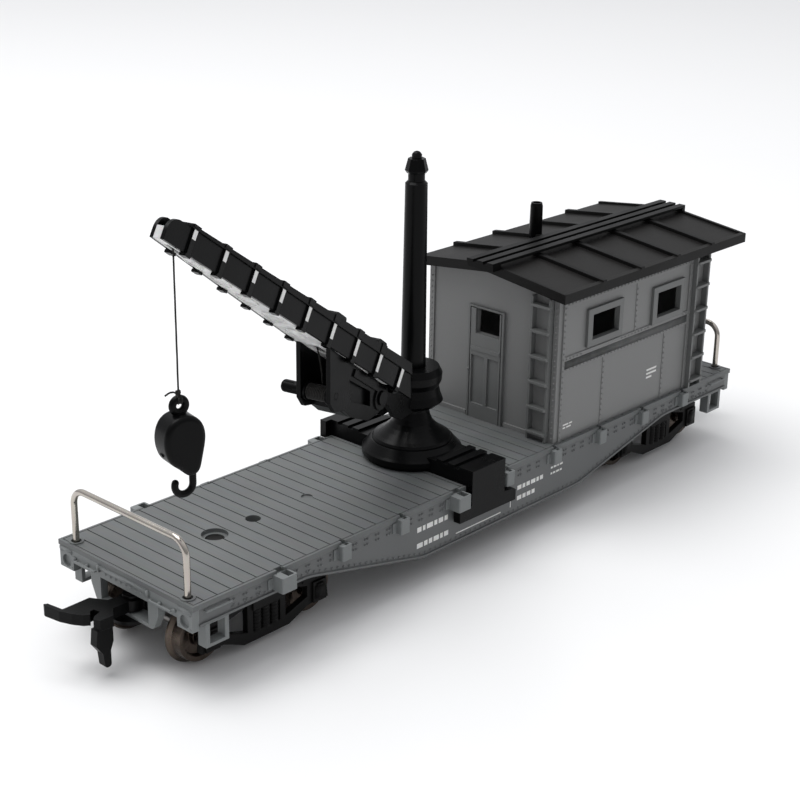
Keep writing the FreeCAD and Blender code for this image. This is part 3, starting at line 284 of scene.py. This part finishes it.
def material(name, colour, rough=0.5, metallic=0.0, sheen=0.0, spec=0.5, blotch=0.12, blotch_scale=120.0,
             grain=0.1, grain_scale=2500.0, bump=0.1, rough_vary=0.12, top_tint=None, edge=0.0, streak=None):
    """A moulded or painted surface: slow colour drift, fine grain in colour and relief, rounded edges that
    can be painted paler as a painted highlight, and a paler tint on up-facing faces as a shade and an amount.
    streak stretches the grain along an axis."""
    m = bpy.data.materials.new(name)
    m.use_nodes = True
    nt = m.node_tree
    nd, ln = nt.nodes, nt.links
    bsdf = nd["Principled BSDF"]
    bsdf.inputs["Metallic"].default_value = metallic
    bsdf.inputs["Sheen Weight"].default_value = sheen
    bsdf.inputs["Specular IOR Level"].default_value = spec

    where = nd.new("ShaderNodeTexCoord").outputs["Object"]
    slow = nd.new("ShaderNodeTexNoise")
    slow.inputs["Scale"].default_value = blotch_scale
    slow.inputs["Detail"].default_value = 5
    ln.new(where, slow.inputs["Vector"])
    fine = nd.new("ShaderNodeTexNoise")
    fine.inputs["Scale"].default_value = grain_scale
    fine.inputs["Detail"].default_value = 3
    if streak:
        stretch = nd.new("ShaderNodeMapping")
        stretch.inputs["Scale"].default_value = streak
        ln.new(where, stretch.inputs["Vector"])
        where = stretch.outputs["Vector"]
    ln.new(where, fine.inputs["Vector"])

    c = Vector(colour)
    ramp = nd.new("ShaderNodeValToRGB")
    dark, light = ramp.color_ramp.elements
    dark.position, dark.color = 0.3, (*(c * (1 - blotch)), 1)
    light.position, light.color = 0.7, (*(c * (1 + blotch)), 1)
    ln.new(slow.outputs["Fac"], ramp.inputs["Fac"])
    tint = nd.new("ShaderNodeMix")
    tint.data_type = "RGBA"
    tint.blend_type = "MULTIPLY"
    tint.inputs["Factor"].default_value = grain
    ln.new(ramp.outputs["Color"], tint.inputs["A"])
    ln.new(fine.outputs["Color"], tint.inputs["B"])
    top = tint.outputs["Result"]
    # The faces that look up are made paler in patches.
    if top_tint:
        top = paled_on_top(nt, top, slow, *top_tint)
    soft = nd.new("ShaderNodeBevel")
    soft.samples = 4
    soft.inputs["Radius"].default_value = 0.12 * MM
    # Painted highlight: the edges are made paler, as far as edge says.
    if edge:
        top = painted_edge_highlight(nt, top, soft, c * 1.6 + Vector((0.03, 0.03, 0.03)), edge)
    ln.new(top, bsdf.inputs["Base Color"])

    gloss = nd.new("ShaderNodeMapRange")
    gloss.inputs["To Min"].default_value = max(0.03, rough - rough_vary)
    gloss.inputs["To Max"].default_value = min(1.0, rough + rough_vary)
    ln.new(slow.outputs["Fac"], gloss.inputs["Value"])
    ln.new(gloss.outputs["Result"], bsdf.inputs["Roughness"])
    relief = nd.new("ShaderNodeBump")
    relief.inputs["Strength"].default_value = bump
    relief.inputs["Distance"].default_value = 0.04 * MM
    ln.new(fine.outputs["Fac"], relief.inputs["Height"])
    ln.new(soft.outputs["Normal"], relief.inputs["Normal"])
    ln.new(relief.outputs["Normal"], bsdf.inputs["Normal"])
    return m


# The edge amounts below paint a highlight along the edges.
GREY = material("grey_moulding", (0.165, 0.176, 0.176), rough=0.48, blotch=0.06, blotch_scale=60, grain=0.1,
                bump=0.25, edge=0.35, top_tint=((0.30, 0.31, 0.31), 0.25))
# Painted shade: the side sills take this darker copy of the underframe grey in place of the shade on them.
SILL_SHADE_GREY = material("grey_sill_painted_shade", (0.105, 0.110, 0.111), rough=0.46, blotch=0.07, blotch_scale=60, grain=0.1,
                bump=0.25, edge=0.35)
DECK = material("grey_planks", (0.120, 0.127, 0.127), rough=0.5, blotch=0.09, blotch_scale=90, grain=0.25,
                grain_scale=900, bump=0.5, streak=(3.0, 0.16, 3.0), edge=0.3, top_tint=((0.26, 0.27, 0.27), 0.12))
CABIN = material("cabin_grey", (0.180, 0.182, 0.180), rough=0.5, blotch=0.05, blotch_scale=50, grain=0.1,
                 bump=0.25, edge=0.3)
# Painted shade: a dark grey for the strip laid on the cabin's belt band.
BELT_SHADE = material("cabin_belt_shade_grey", (0.070, 0.072, 0.071), rough=0.6, blotch=0.3, blotch_scale=500, grain=0.3,
                bump=0.6)
TRIM = material("cabin_trim_grey", (0.128, 0.132, 0.130), rough=0.48, blotch=0.06, blotch_scale=80, grain=0.1,
                bump=0.25, edge=0.3)
ROOF = material("roof_black", (0.0080, 0.0078, 0.0076), rough=0.5, blotch=0.2, blotch_scale=90, grain=0.2,
                bump=0.5, spec=0.12, top_tint=((0.034, 0.031, 0.029), 0.28))
EDGING = material("roof_edging", (0.0028, 0.0028, 0.0029), rough=0.45, blotch=0.15, blotch_scale=90, grain=0.2,
                  bump=0.4, spec=0.1)
BLACK = material("black_gloss", (0.0018, 0.0019, 0.0021), rough=0.30, blotch=0.15, blotch_scale=150, grain=0.15,
                 bump=0.3, rough_vary=0.1, spec=0.10, edge=0.06)
COUPLER = material("black_satin", (0.0024, 0.0025, 0.0026), rough=0.36, blotch=0.15, grain=0.15, bump=0.4,
                   spec=0.11, edge=0.08)
TRUCK = material("truck_black", (0.0034, 0.0033, 0.0031), rough=0.5, blotch=0.25, grain=0.3, bump=0.8,
                 spec=0.16, top_tint=((0.035, 0.031, 0.028), 0.2))
LIGHT = material("boom_light", (0.74, 0.74, 0.73), rough=0.5, blotch=0.3, blotch_scale=420, grain=0.3, bump=0.4)
WHITE = material("white_stripe", (0.80, 0.80, 0.78), rough=0.5, blotch=0.06, blotch_scale=700, grain=0.2,
                 bump=0.3)
RAIL = material("nickel_wire", (0.50, 0.465, 0.42), rough=0.16, metallic=1.0, blotch=0.08, grain=0.15, bump=0.1,
                rough_vary=0.08, streak=(1, 1, 0.1))
WHEEL = material("wheel_bronze", (0.115, 0.092, 0.076), rough=0.28, metallic=1.0, blotch=0.2, blotch_scale=300,
                 grain=0.25, bump=0.3)
AXLE = material("axle_steel", (0.26, 0.25, 0.24), rough=0.35, metallic=1.0, blotch=0.2, grain=0.2, bump=0.2)
STEEL = material("ballast_steel", (0.20, 0.20, 0.20), rough=0.5, metallic=1.0, blotch=0.3, grain=0.3, bump=0.4)
THREAD = material("black_thread", (0.010, 0.009, 0.008), rough=0.85, sheen=0.2, blotch=0.2, blotch_scale=800,
                  grain=0.4, grain_scale=9000, bump=0.8, spec=0.2)

BY_SLOT = {"deck_plastic": DECK, "underframe_plastic": GREY, "cabin_plastic": CABIN, "cabin_trim": TRIM,
           "roof_plastic": ROOF, "black_plastic": BLACK, "truck_plastic": TRUCK, "boom_light": LIGHT,
           "rail_wire": RAIL, "wheel_metal": WHEEL, "axle_metal": AXLE, "ballast_steel": STEEL,
           "cord_thread": THREAD}


def dress_nodes():
    """Every CAD node takes the material of its slot in the record, but for the few that are named here."""
    parts = {p["node"]: p for p in frame["record"]["subparts"]}
    for name, ob in NODES.items():
        part = parts.get(name) or {}
        mat = BY_SLOT.get(part.get("material_slot") or part.get("material"), GREY)
        if "coupler" in name:
            mat = COUPLER
        if name == "roof_walk":
            mat = EDGING
        # The side sills take the darker grey: painted shade.
        if name.startswith("side_sill"):
            mat = SILL_SHADE_GREY
        ob.data.materials.clear()
        ob.data.materials.append(mat)


dress_nodes()


# ---------------------------------------------------------------- crane frame

JOINTS = {j["name"]: j for j in frame["joints"]}
PIN = Vector(JOINTS["luff"]["pos_m"])
UP = Vector((0, 0, 1))
ACROSS = -Vector(JOINTS["luff"]["axis"])
AHEAD = ACROSS.cross(UP)
LUFF = math.radians(LUFF_DEG)
ALONG = AHEAD * math.cos(LUFF) + UP * math.sin(LUFF)
SQUARE = UP * math.cos(LUFF) - AHEAD * math.sin(LUFF)


def B(u, v, w=0.0):
    """A point from the luffing pin: u along the boom, v square to it, w across, in millimetres."""
    return PIN + (ALONG * u + SQUARE * v + ACROSS * w) * MM


def L(forward, up, w=0.0):
    """A point from the luffing pin in the level frame, in millimetres."""
    return PIN + (AHEAD * forward + UP * up + ACROSS * w) * MM


# ---------------------------------------------------------------- cords

FALL_TOP = Vector(JOINTS["hoist"]["pos_m"])
FALL_TOP.z = JOINTS["hoist"]["deforming_nodes"][0]["fixed_end_z_m"]
HOOK_TURN = math.radians(-12)


def H(x, y, z):
    """A point on the hook: x and y from the plumb line, z above the table, in millimetres."""
    c, s = math.cos(HOOK_TURN), math.sin(HOOK_TURN)
    return Vector((FALL_TOP.x + (x * c - y * s) * MM, FALL_TOP.y + (x * s + y * c) * MM, z * MM))



def circle(w):
    return Vector((math.cos(w), math.sin(w)))


def thread(name, line, body, step=0.09, turn=1.25):
    """Three strands twisted round a line; step and turn in millimetres."""
    bm = bmesh.new()
    for lay in strands(thinned(line, step * MM), 0.078 * MM, turn * MM, 3):
        add_tube(bm, lay, 0.08 * MM, 5)
    return piece(name, bm, body, THREAD)


def make_knot(height, size=0.115, ripple=0.2, steps=48):
    """A small overhand knot: a closed trefoil of thread round the plumb line."""
    loop = []
    for k in range(steps):
        t = 2 * math.pi * k / steps
        loop.append(H(size * (math.sin(t) + 2 * math.sin(2 * t)), size * (math.cos(t) - 2 * math.cos(2 * t)),
                      height - ripple * math.sin(3 * t)))
    bm = bmesh.new()
    add_tube(bm, loop + loop[:1], 0.14 * MM, 7)
    return piece("fall_knot", bm, "hook_body", THREAD)


def make_fall_cord():
    """Thread from the tip sheave, two turns through the hook's eye, knot and a short tail."""
    eye, reach, turn_points, points = 49.75, 0.76, 12, 22
    route = [H(0, 0, FALL_TOP.z / MM), H(0, 0, 52.9), H(0.1, 0.25, 51.5)]
    for k in range(points):
        w = math.radians(30 - 360 / turn_points * k)
        route.append(H(0.4 - 0.7 * k / (points - 1), 0.05 + reach * math.cos(w), eye + reach * math.sin(w)))
    route += [H(-0.3, 0.22, 50.62), H(-0.62, 0.62, 50.68), H(-1.25, 0.66, 50.62), H(-1.95, 0.4, 50.4)]
    line = read_route(route)
    cord = thread("fall_cord", line, None)
    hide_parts("hanging_cord")
    knot = make_knot(50.78)
    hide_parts("cord_knot")
    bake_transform(cord)


def make_boom_cord():
    """Thread from the drum's turns, through the plate, up inside the boom and round the tip sheave."""
    groove, steps = 1.17, 7
    bulge = 1 / 0.978  # a spline of this order runs inside its points by this much
    lean = math.radians(LUFF_DEG)

    def level(u, v):
        return Vector((u * math.cos(lean) - v * math.sin(lean), u * math.sin(lean) + v * math.cos(lean)))

    drum, sheave, slot = Vector((14.6, 5.0)), level(65.3, 4.4), level(19.4, 3.4)
    off, run = slot - drum, sheave - slot
    start = math.atan2(off.y, off.x) - math.asin(DRUM_WRAP / off.length) + math.pi / 2
    crown = math.degrees(math.atan2(run.y, run.x) + math.asin(groove / run.length)) + 90
    leave = drum + circle(start) * DRUM_WRAP
    top = sheave + circle(math.radians(crown)) * groove
    points = [leave, slot, slot + run.normalized() * (slot - leave).length, slot.lerp(top, 0.94)]
    for k in range(steps):
        w = math.radians(crown - 12 - (crown + 20) / (steps - 1) * k)
        points.append(sheave + circle(w) * groove * bulge)
    cord = thread("hoist_cord", read_route([L(p.x, p.y) for p in points]), "boom", step=0.12)
    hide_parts("boom_cord")


def make_drum_turns():
    """The turns of cord lying side by side on the winch drum."""
    centre = Vector(JOINTS["winch_turn"]["pos_m"])
    turns, per_turn, width = 13, 20, 4.0
    last = turns * per_turn
    line = []
    for k in range(last + 1):
        round_drum = circle(2 * math.pi * k / per_turn) * DRUM_WRAP
        side = width * (k / last - 0.5)
        line.append(centre + (AHEAD * round_drum.x + UP * round_drum.y + ACROSS * side) * MM)
    bm = bmesh.new()
    add_tube(bm, line, 0.155 * MM, 6)
    piece("drum_turns", bm, "winch", THREAD)


make_fall_cord()
make_boom_cord()
make_drum_turns()


# ---------------------------------------------------------------- small detail on the car

def mirrored(places):
    """Each (point, normal) in millimetres, and its mirror image across the car."""
    for (x, y, z), (nx, ny, nz) in places:
        yield (x, y, z), (nx, ny, nz)
        yield (x, -y, z), (nx, -ny, nz)


def domes(name, places, radius, height, mat, sides=8, rings=2):
    """One piece on the car of equal rivet heads."""
    bm = bmesh.new()
    for place, normal in places:
        add_dome(bm, P(*place), normal, radius, height, sides, rings)
    piece(name, bm, "car", mat)


def sill_bottom(x):
    """The height of the side sill's fishbelly edge."""
    end, belly, high, low = 50.5, 22.5, 11.8, 5.4
    share = (abs(x) - belly) / (end - belly)
    return low + (high - low) * min(1.0, max(0.0, share))


def clear_of_fittings(x, z):
    """Whether a rivet here misses the stake pockets, the crane's clip and the stirrup steps."""
    for i in range(9):
        half = 2.6 if i in (0, 3) else 2.1
        if z > 12.3 and abs(x - (i - 4) * POCKET_PITCH) < half + 0.3:
            return False
    clip = -15.2 < x < 1.3 and z > 9.2
    step = 66.9 < abs(x) < 72.9 and z < 14.6
    return not (clip or step)


def make_sill_rivets():
    """Pairs of rivets under the deck edge at each plank and a row along the bottom flange."""
    places = []
    for i in range(1, PLANKS):
        x = i * PLANK - HALF_LENGTH
        places += [(x + dx, z) for dx in (-0.32, 0.32) for z in (13.9, 12.95)]
    for i in range(2, 2 * PLANKS - 1):
        x = i * PLANK / 2 - HALF_LENGTH
        places.append((x, sill_bottom(x) + 0.85))
    rows = [((x, SILL_FACE, z), (0, 1, 0)) for x, z in places if clear_of_fittings(x, z)]
    # The rivets take the side sills' darker grey: painted shade.
    domes("sill_rivets", mirrored(rows), 0.24, 0.26, SILL_SHADE_GREY)


def make_end_sill_detail():
    """Bolted strip, lever brackets and corner bolts on the face of each end sill."""
    brackets = (  # how far out, to the side and up; half-sizes; rounding
        ((0.15, 6.2, 14.15), (0.24, 0.3, 0.6), 0.08),
        ((0.06, 15.0, 14.45), (0.12, 1.6, 0.3), 0.06),
        ((0.15, 12.6, 13.6), (0.25, 0.4, 0.25), 0.08),
        ((0.15, 9.2, 13.55), (0.25, 0.3, 0.3), 0.08))
    bm = bmesh.new()
    for end in SIDES:
        face, skin = end * HALF_LENGTH, end * (HALF_LENGTH + 0.02)
        add_box(bm, (face + end * 0.08, 0, 14.35), (0.14, 6.4, 0.33), 0.06)
        for side in SIDES:
            for (out, y, z), half, soft in brackets:
                add_box(bm, (face + end * out, side * y, z), half, soft)
            for y in (13.5, 16.2):
                for z in (11.6, 14.0):
                    add_dome(bm, P(skin, side * y, z), (end, 0, 0), 0.2, 0.15, 6)
        for k in range(8):
            add_dome(bm, P(skin, -4.55 + 1.3 * k, 13.6), (end, 0, 0), 0.24, 0.2, 6)
    piece("end_sill_detail", bm, "car", GREY)


def make_cabin_rivets():
    """Rivet lines on the cabin's corners, belt, eave strip and panel joints."""
    foot, pitch = 16.6, 1.1
    rows = []
    for k in range(24):
        z = foot + 1.12 * k
        rows += [((x, CABIN_FACE + 0.3, z), (0, 1, 0)) for x in (16.35, 57.95)]
        rows += [((14.8, 15.4, z), (-1, 0, 0)), ((64.5, 15.4, z), (1, 0, 0))]
    for k in range(37):
        x = 17.4 + pitch * k
        if x >= 57.2:
            break
        rows += [((x, CABIN_FACE + out, z), (0, 1, 0)) for out, z in ((0.15, 42.9), (0.2, 30.1))]
        if not (22.8 < x < 34.8 or 44.1 < x < 55.6):  # the window frames
            rows.append(((x, CABIN_FACE + 0.2, 32.2), (0, 1, 0)))
    for x, low, high in ((29.45, foot, 29.3), (49.95, foot, 29.3), (39.45, 33.4, 42.0)):
        for k in range(int((high - low) / pitch) + 1):
            rows.append(((x, CABIN_FACE + 0.12, low + pitch * k), (0, 1, 0)))
    domes("cabin_rivets", mirrored(rows), 0.22, 0.22, CABIN, 6)


def make_cabin_belt_shade():
    """A dull dark strip along each side of the cabin under the windows: painted shade on the belt band."""
    bm = bmesh.new()
    for s in SIDES:
        add_box(bm, (37.1, s * (CABIN_FACE + 0.19), 31.0), (20.35, 0.03, 0.8), 0.02)
    piece("cabin_belt_shade", bm, "car", BELT_SHADE)


def make_door_handles():
    places = (((14.5, 5.3, 25.6), (-1, 0, 0)), ((64.8, -5.3, 25.6), (1, 0, 0)))
    domes("door_handles", places, 0.3, 0.35, TRIM, 8, 3)


def make_roof_edging():
    """Darker strips let into the top of each roof batten and along the roof's ends."""
    drop = RIDGE - EAVE
    slope, run = math.atan2(drop, ROOF_HALF), math.hypot(ROOF_HALF, drop) / 2
    bay = (ROOF_REAR - ROOF_FRONT) / 5
    strips = [(ROOF_FRONT + k * bay, 0.52, 0.7) for k in range(1, 5)]  # where, half-width, height
    strips += [(ROOF_FRONT + 0.35, 0.33, 0.4), (ROOF_REAR - 0.35, 0.33, 0.4)]
    bm = bmesh.new()
    for s in SIDES:
        fall = Vector((0, s * ROOF_HALF, -drop)).normalized()
        out = Vector((0, -s * fall.z, s * fall.y))
        for x, wide, lift in strips:
            mid = P(x, s * ROOF_HALF / 2, (EAVE + RIDGE) / 2 + lift / math.cos(slope))
            add_block(bm, mid + out * 0.005 * MM, AXES[0] * wide * MM, fall * (run - 0.05) * MM,
                      out * 0.03 * MM)
    piece("roof_strips", bm, "car", EDGING, smooth=False)


def make_sill_marks():
    """Plain white dashes and thin lines in place of the printing on each side sill and cabin wall."""
    sill, wall = SILL_FACE + 0.005, CABIN_FACE + 0.005
    rows = (  # start, height, how tall, widths, gap, face
        (-24.0, 11.1, 0.95, (1.1, 0.7, 1.6, 0.8, 1.2, 0.9), 0.35, sill),
        (-24.0, 8.0, 0.95, (1.5, 0.9, 0.9, 1.4, 0.7, 1.1), 0.35, sill),
        (-13.6, 7.0, 0.22, (12.5,), 0.35, sill),
        (1.6, 8.4, 2.6, (0.2,), 0.35, sill),
        (3.6, 10.4, 0.85, (1.2, 0.8, 1.0, 1.3, 0.7, 0.9), 0.35, sill),
        (3.6, 8.3, 0.85, (1.3, 0.9, 1.1, 0.9), 0.35, sill),
        (13.6, 11.4, 0.4, (0.6, 0.9, 0.5, 0.9), 0.25, sill),
        (13.6, 10.2, 0.4, (0.5, 0.7, 0.9, 0.6), 0.25, sill),
        (17.6, 18.7, 0.3, (1.7, 0.9), 0.3, wall),
        (17.6, 18.1, 0.3, (0.8, 1.4), 0.3, wall),
        (44.6, 22.9, 0.4, (3.4,), 0.3, wall),
        (44.6, 22.1, 0.4, (3.4,), 0.3, wall),
        (44.6, 21.3, 0.4, (1.9,), 0.3, wall))
    bm = bmesh.new()
    for s in SIDES:
        for at, height, tall, widths, gap, face in rows:
            for wide in widths:
                add_box(bm, (at + wide / 2, s * face, height), (wide / 2, 0.012, tall / 2))
                at += wide + gap
    piece("sill_marks", bm, "car", WHITE, smooth=False)


def make_truck_details():
    """Coil springs, journal lids and bolts on the trucks' side frames."""
    coils, per_coil, coil_radius, foot, rise = 6, 12, 0.78, 3.5, 3.8
    last = coils * per_coil
    for truck, middle in (("front", -TRUCK_X), ("rear", TRUCK_X)):
        bm = bmesh.new()
        for s in SIDES:
            for dx in (-1.9, 0.0, 1.9):
                line = []
                for k in range(last + 1):
                    at = circle(2 * math.pi * k / per_coil) * coil_radius
                    line.append(P(middle + dx + at.x, s * 11.9 + at.y, foot + rise * k / last))
                add_tube(bm, line, 0.2 * MM, 5)
            for dx in (-11.8, 11.8):
                add_box(bm, (middle + dx, s * 12.95, 5.5), (1.15, 0.16, 1.25), 0.12)
                add_box(bm, (middle + dx, s * 13.0, 6.9), (0.7, 0.2, 0.22), 0.08)
            for dx, z in ((-8.2, 8.1), (-5.6, 8.9), (5.6, 8.9), (8.2, 8.1)):
                add_dome(bm, P(middle + dx, s * 12.5, z), (0, s, 0), 0.28, 0.2, 6)
        piece(truck + "_truck_detail", bm, truck + "_truck", TRUCK)


# ---------------------------------------------------------------- small detail on the boom

RIB_START, RIB_PITCH, RIBS = -1.0, 8.12, 9


def boom_half(u):
    """Half the boom's width at u."""
    return 5.04 - 0.05507 * u


def make_boom_stripes():
    """A white line painted down the face of every rib."""
    top = 5.95
    bm = bmesh.new()
    for k in range(RIBS):
        u = RIB_START + RIB_PITCH * k
        low = 2.34 + 2.14 * (u + 12.9) / 75
        for s in SIDES:
            add_block(bm, B(u, (low + top) / 2, s * (boom_half(u) + 0.31)), ALONG * 0.46 * MM,
                      SQUARE * (top - low) / 2 * MM, ACROSS * 0.035 * MM)
    piece("boom_stripes", bm, "boom", WHITE, smooth=False)


def make_boom_mouldings():
    """Raised oval rings on the boom's light underside, one in each bay beyond the winch."""
    bm = bmesh.new()
    for k in range(2, RIBS - 1):
        u = RIB_START + RIB_PITCH * (k + 0.5)
        turns = [circle(2 * math.pi * i / 32) for i in range(33)]
        ring = [B(u + 2.5 * at.x, 2.28, 0.52 * boom_half(u) * at.y) for at in turns]
        add_tube(bm, ring, 0.16 * MM, 6)
    piece("boom_mouldings", bm, "boom", LIGHT)


def make_winch_shade_plate():
    """The dark plate behind the window in the winch housing's right plate: painted shade, standing in for the
    shaded inside of the housing.
    """
    outline = ((10.9, 7.4), (3.0, 3.0), (3.0, -1.0), (10.6, 2.2))
    bm = bmesh.new()
    near, far = ([bm.verts.new(L(u, v, w)) for u, v in outline] for w in (2.42, 2.22))
    bm.faces.new(near)
    bm.faces.new(far[::-1])
    for k in range(4):
        bm.faces.new((near[k], far[k], far[(k + 1) % 4], near[(k + 1) % 4]))
    bmesh.ops.recalc_face_normals(bm, faces=bm.faces[:])
    piece("winch_shade_plate", bm, "boom", BLACK, smooth=False)


make_sill_rivets()
make_end_sill_detail()
make_cabin_rivets()
make_cabin_belt_shade()
make_door_handles()
make_roof_edging()
make_sill_marks()
make_boom_stripes()
make_boom_mouldings()
make_winch_shade_plate()
make_truck_details()


# ---------------------------------------------------------------- floor and light

FLOOR_HALF = 20.0


def make_stage():
    """A plain pale floor. The view transform is Standard, to keep the blacks deep and the floor pale."""
    bm = bmesh.new()
    bmesh.ops.create_grid(bm, x_segments=2, y_segments=2, size=FLOOR_HALF)
    mesh = bpy.data.meshes.new("floor")
    bm.to_mesh(mesh)
    bm.free()
    floor = bpy.data.objects.new("floor", mesh)
    bpy.context.scene.collection.objects.link(floor)
    mesh.materials.append(material("floor_paper", (0.86, 0.86, 0.86), rough=0.75, blotch=0.004, blotch_scale=3,
                                   grain=0.0, bump=0.0, rough_vary=0.02, spec=0.2))
    bpy.context.scene.view_settings.view_transform = "Standard"


def make_world():
    """A bright studio overhead and beyond the object, and a darker room on the camera's side."""
    world = bpy.data.worlds.new("studio")
    bpy.context.scene.world = world
    world.use_nodes = True
    nt = world.node_tree
    nd, ln = nt.nodes, nt.links
    where = nd.new("ShaderNodeTexCoord")
    aim = nd.new("ShaderNodeVectorMath")
    aim.operation = "DOT_PRODUCT"
    aim.inputs[1].default_value = Vector((0.30, 0.22, 0.93)).normalized()
    ln.new(where.outputs["Generated"], aim.inputs[0])
    fade = nd.new("ShaderNodeValToRGB")
    low, high = fade.color_ramp.elements
    low.position, low.color = 0.0, (0.42, 0.42, 0.43, 1)
    high.position, high.color = 0.75, (0.95, 0.96, 0.98, 1)
    middle = fade.color_ramp.elements.new(0.30)
    middle.color = (0.62, 0.62, 0.64, 1)
    ln.new(aim.outputs["Value"], fade.inputs["Fac"])
    back = nd["Background"]
    back.inputs["Strength"].default_value = 0.88
    ln.new(fade.outputs["Color"], back.inputs["Color"])


def make_key_light():
    """One large soft light above and behind the object."""
    place, target, size = Vector((-0.15, 0.25, 0.9)), Vector((0, 0, 0.02)), 0.7
    data = bpy.data.lights.new("key", "AREA")
    data.shape = "RECTANGLE"
    data.size = data.size_y = size
    data.energy = 6.0
    ob = bpy.data.objects.new("key", data)
    bpy.context.scene.collection.objects.link(ob)
    aim = (target - place).to_track_quat("-Z", "Y")
    ob.matrix_world = Matrix.Translation(place) @ aim.to_matrix().to_4x4()


make_stage()
make_world()
make_key_light()
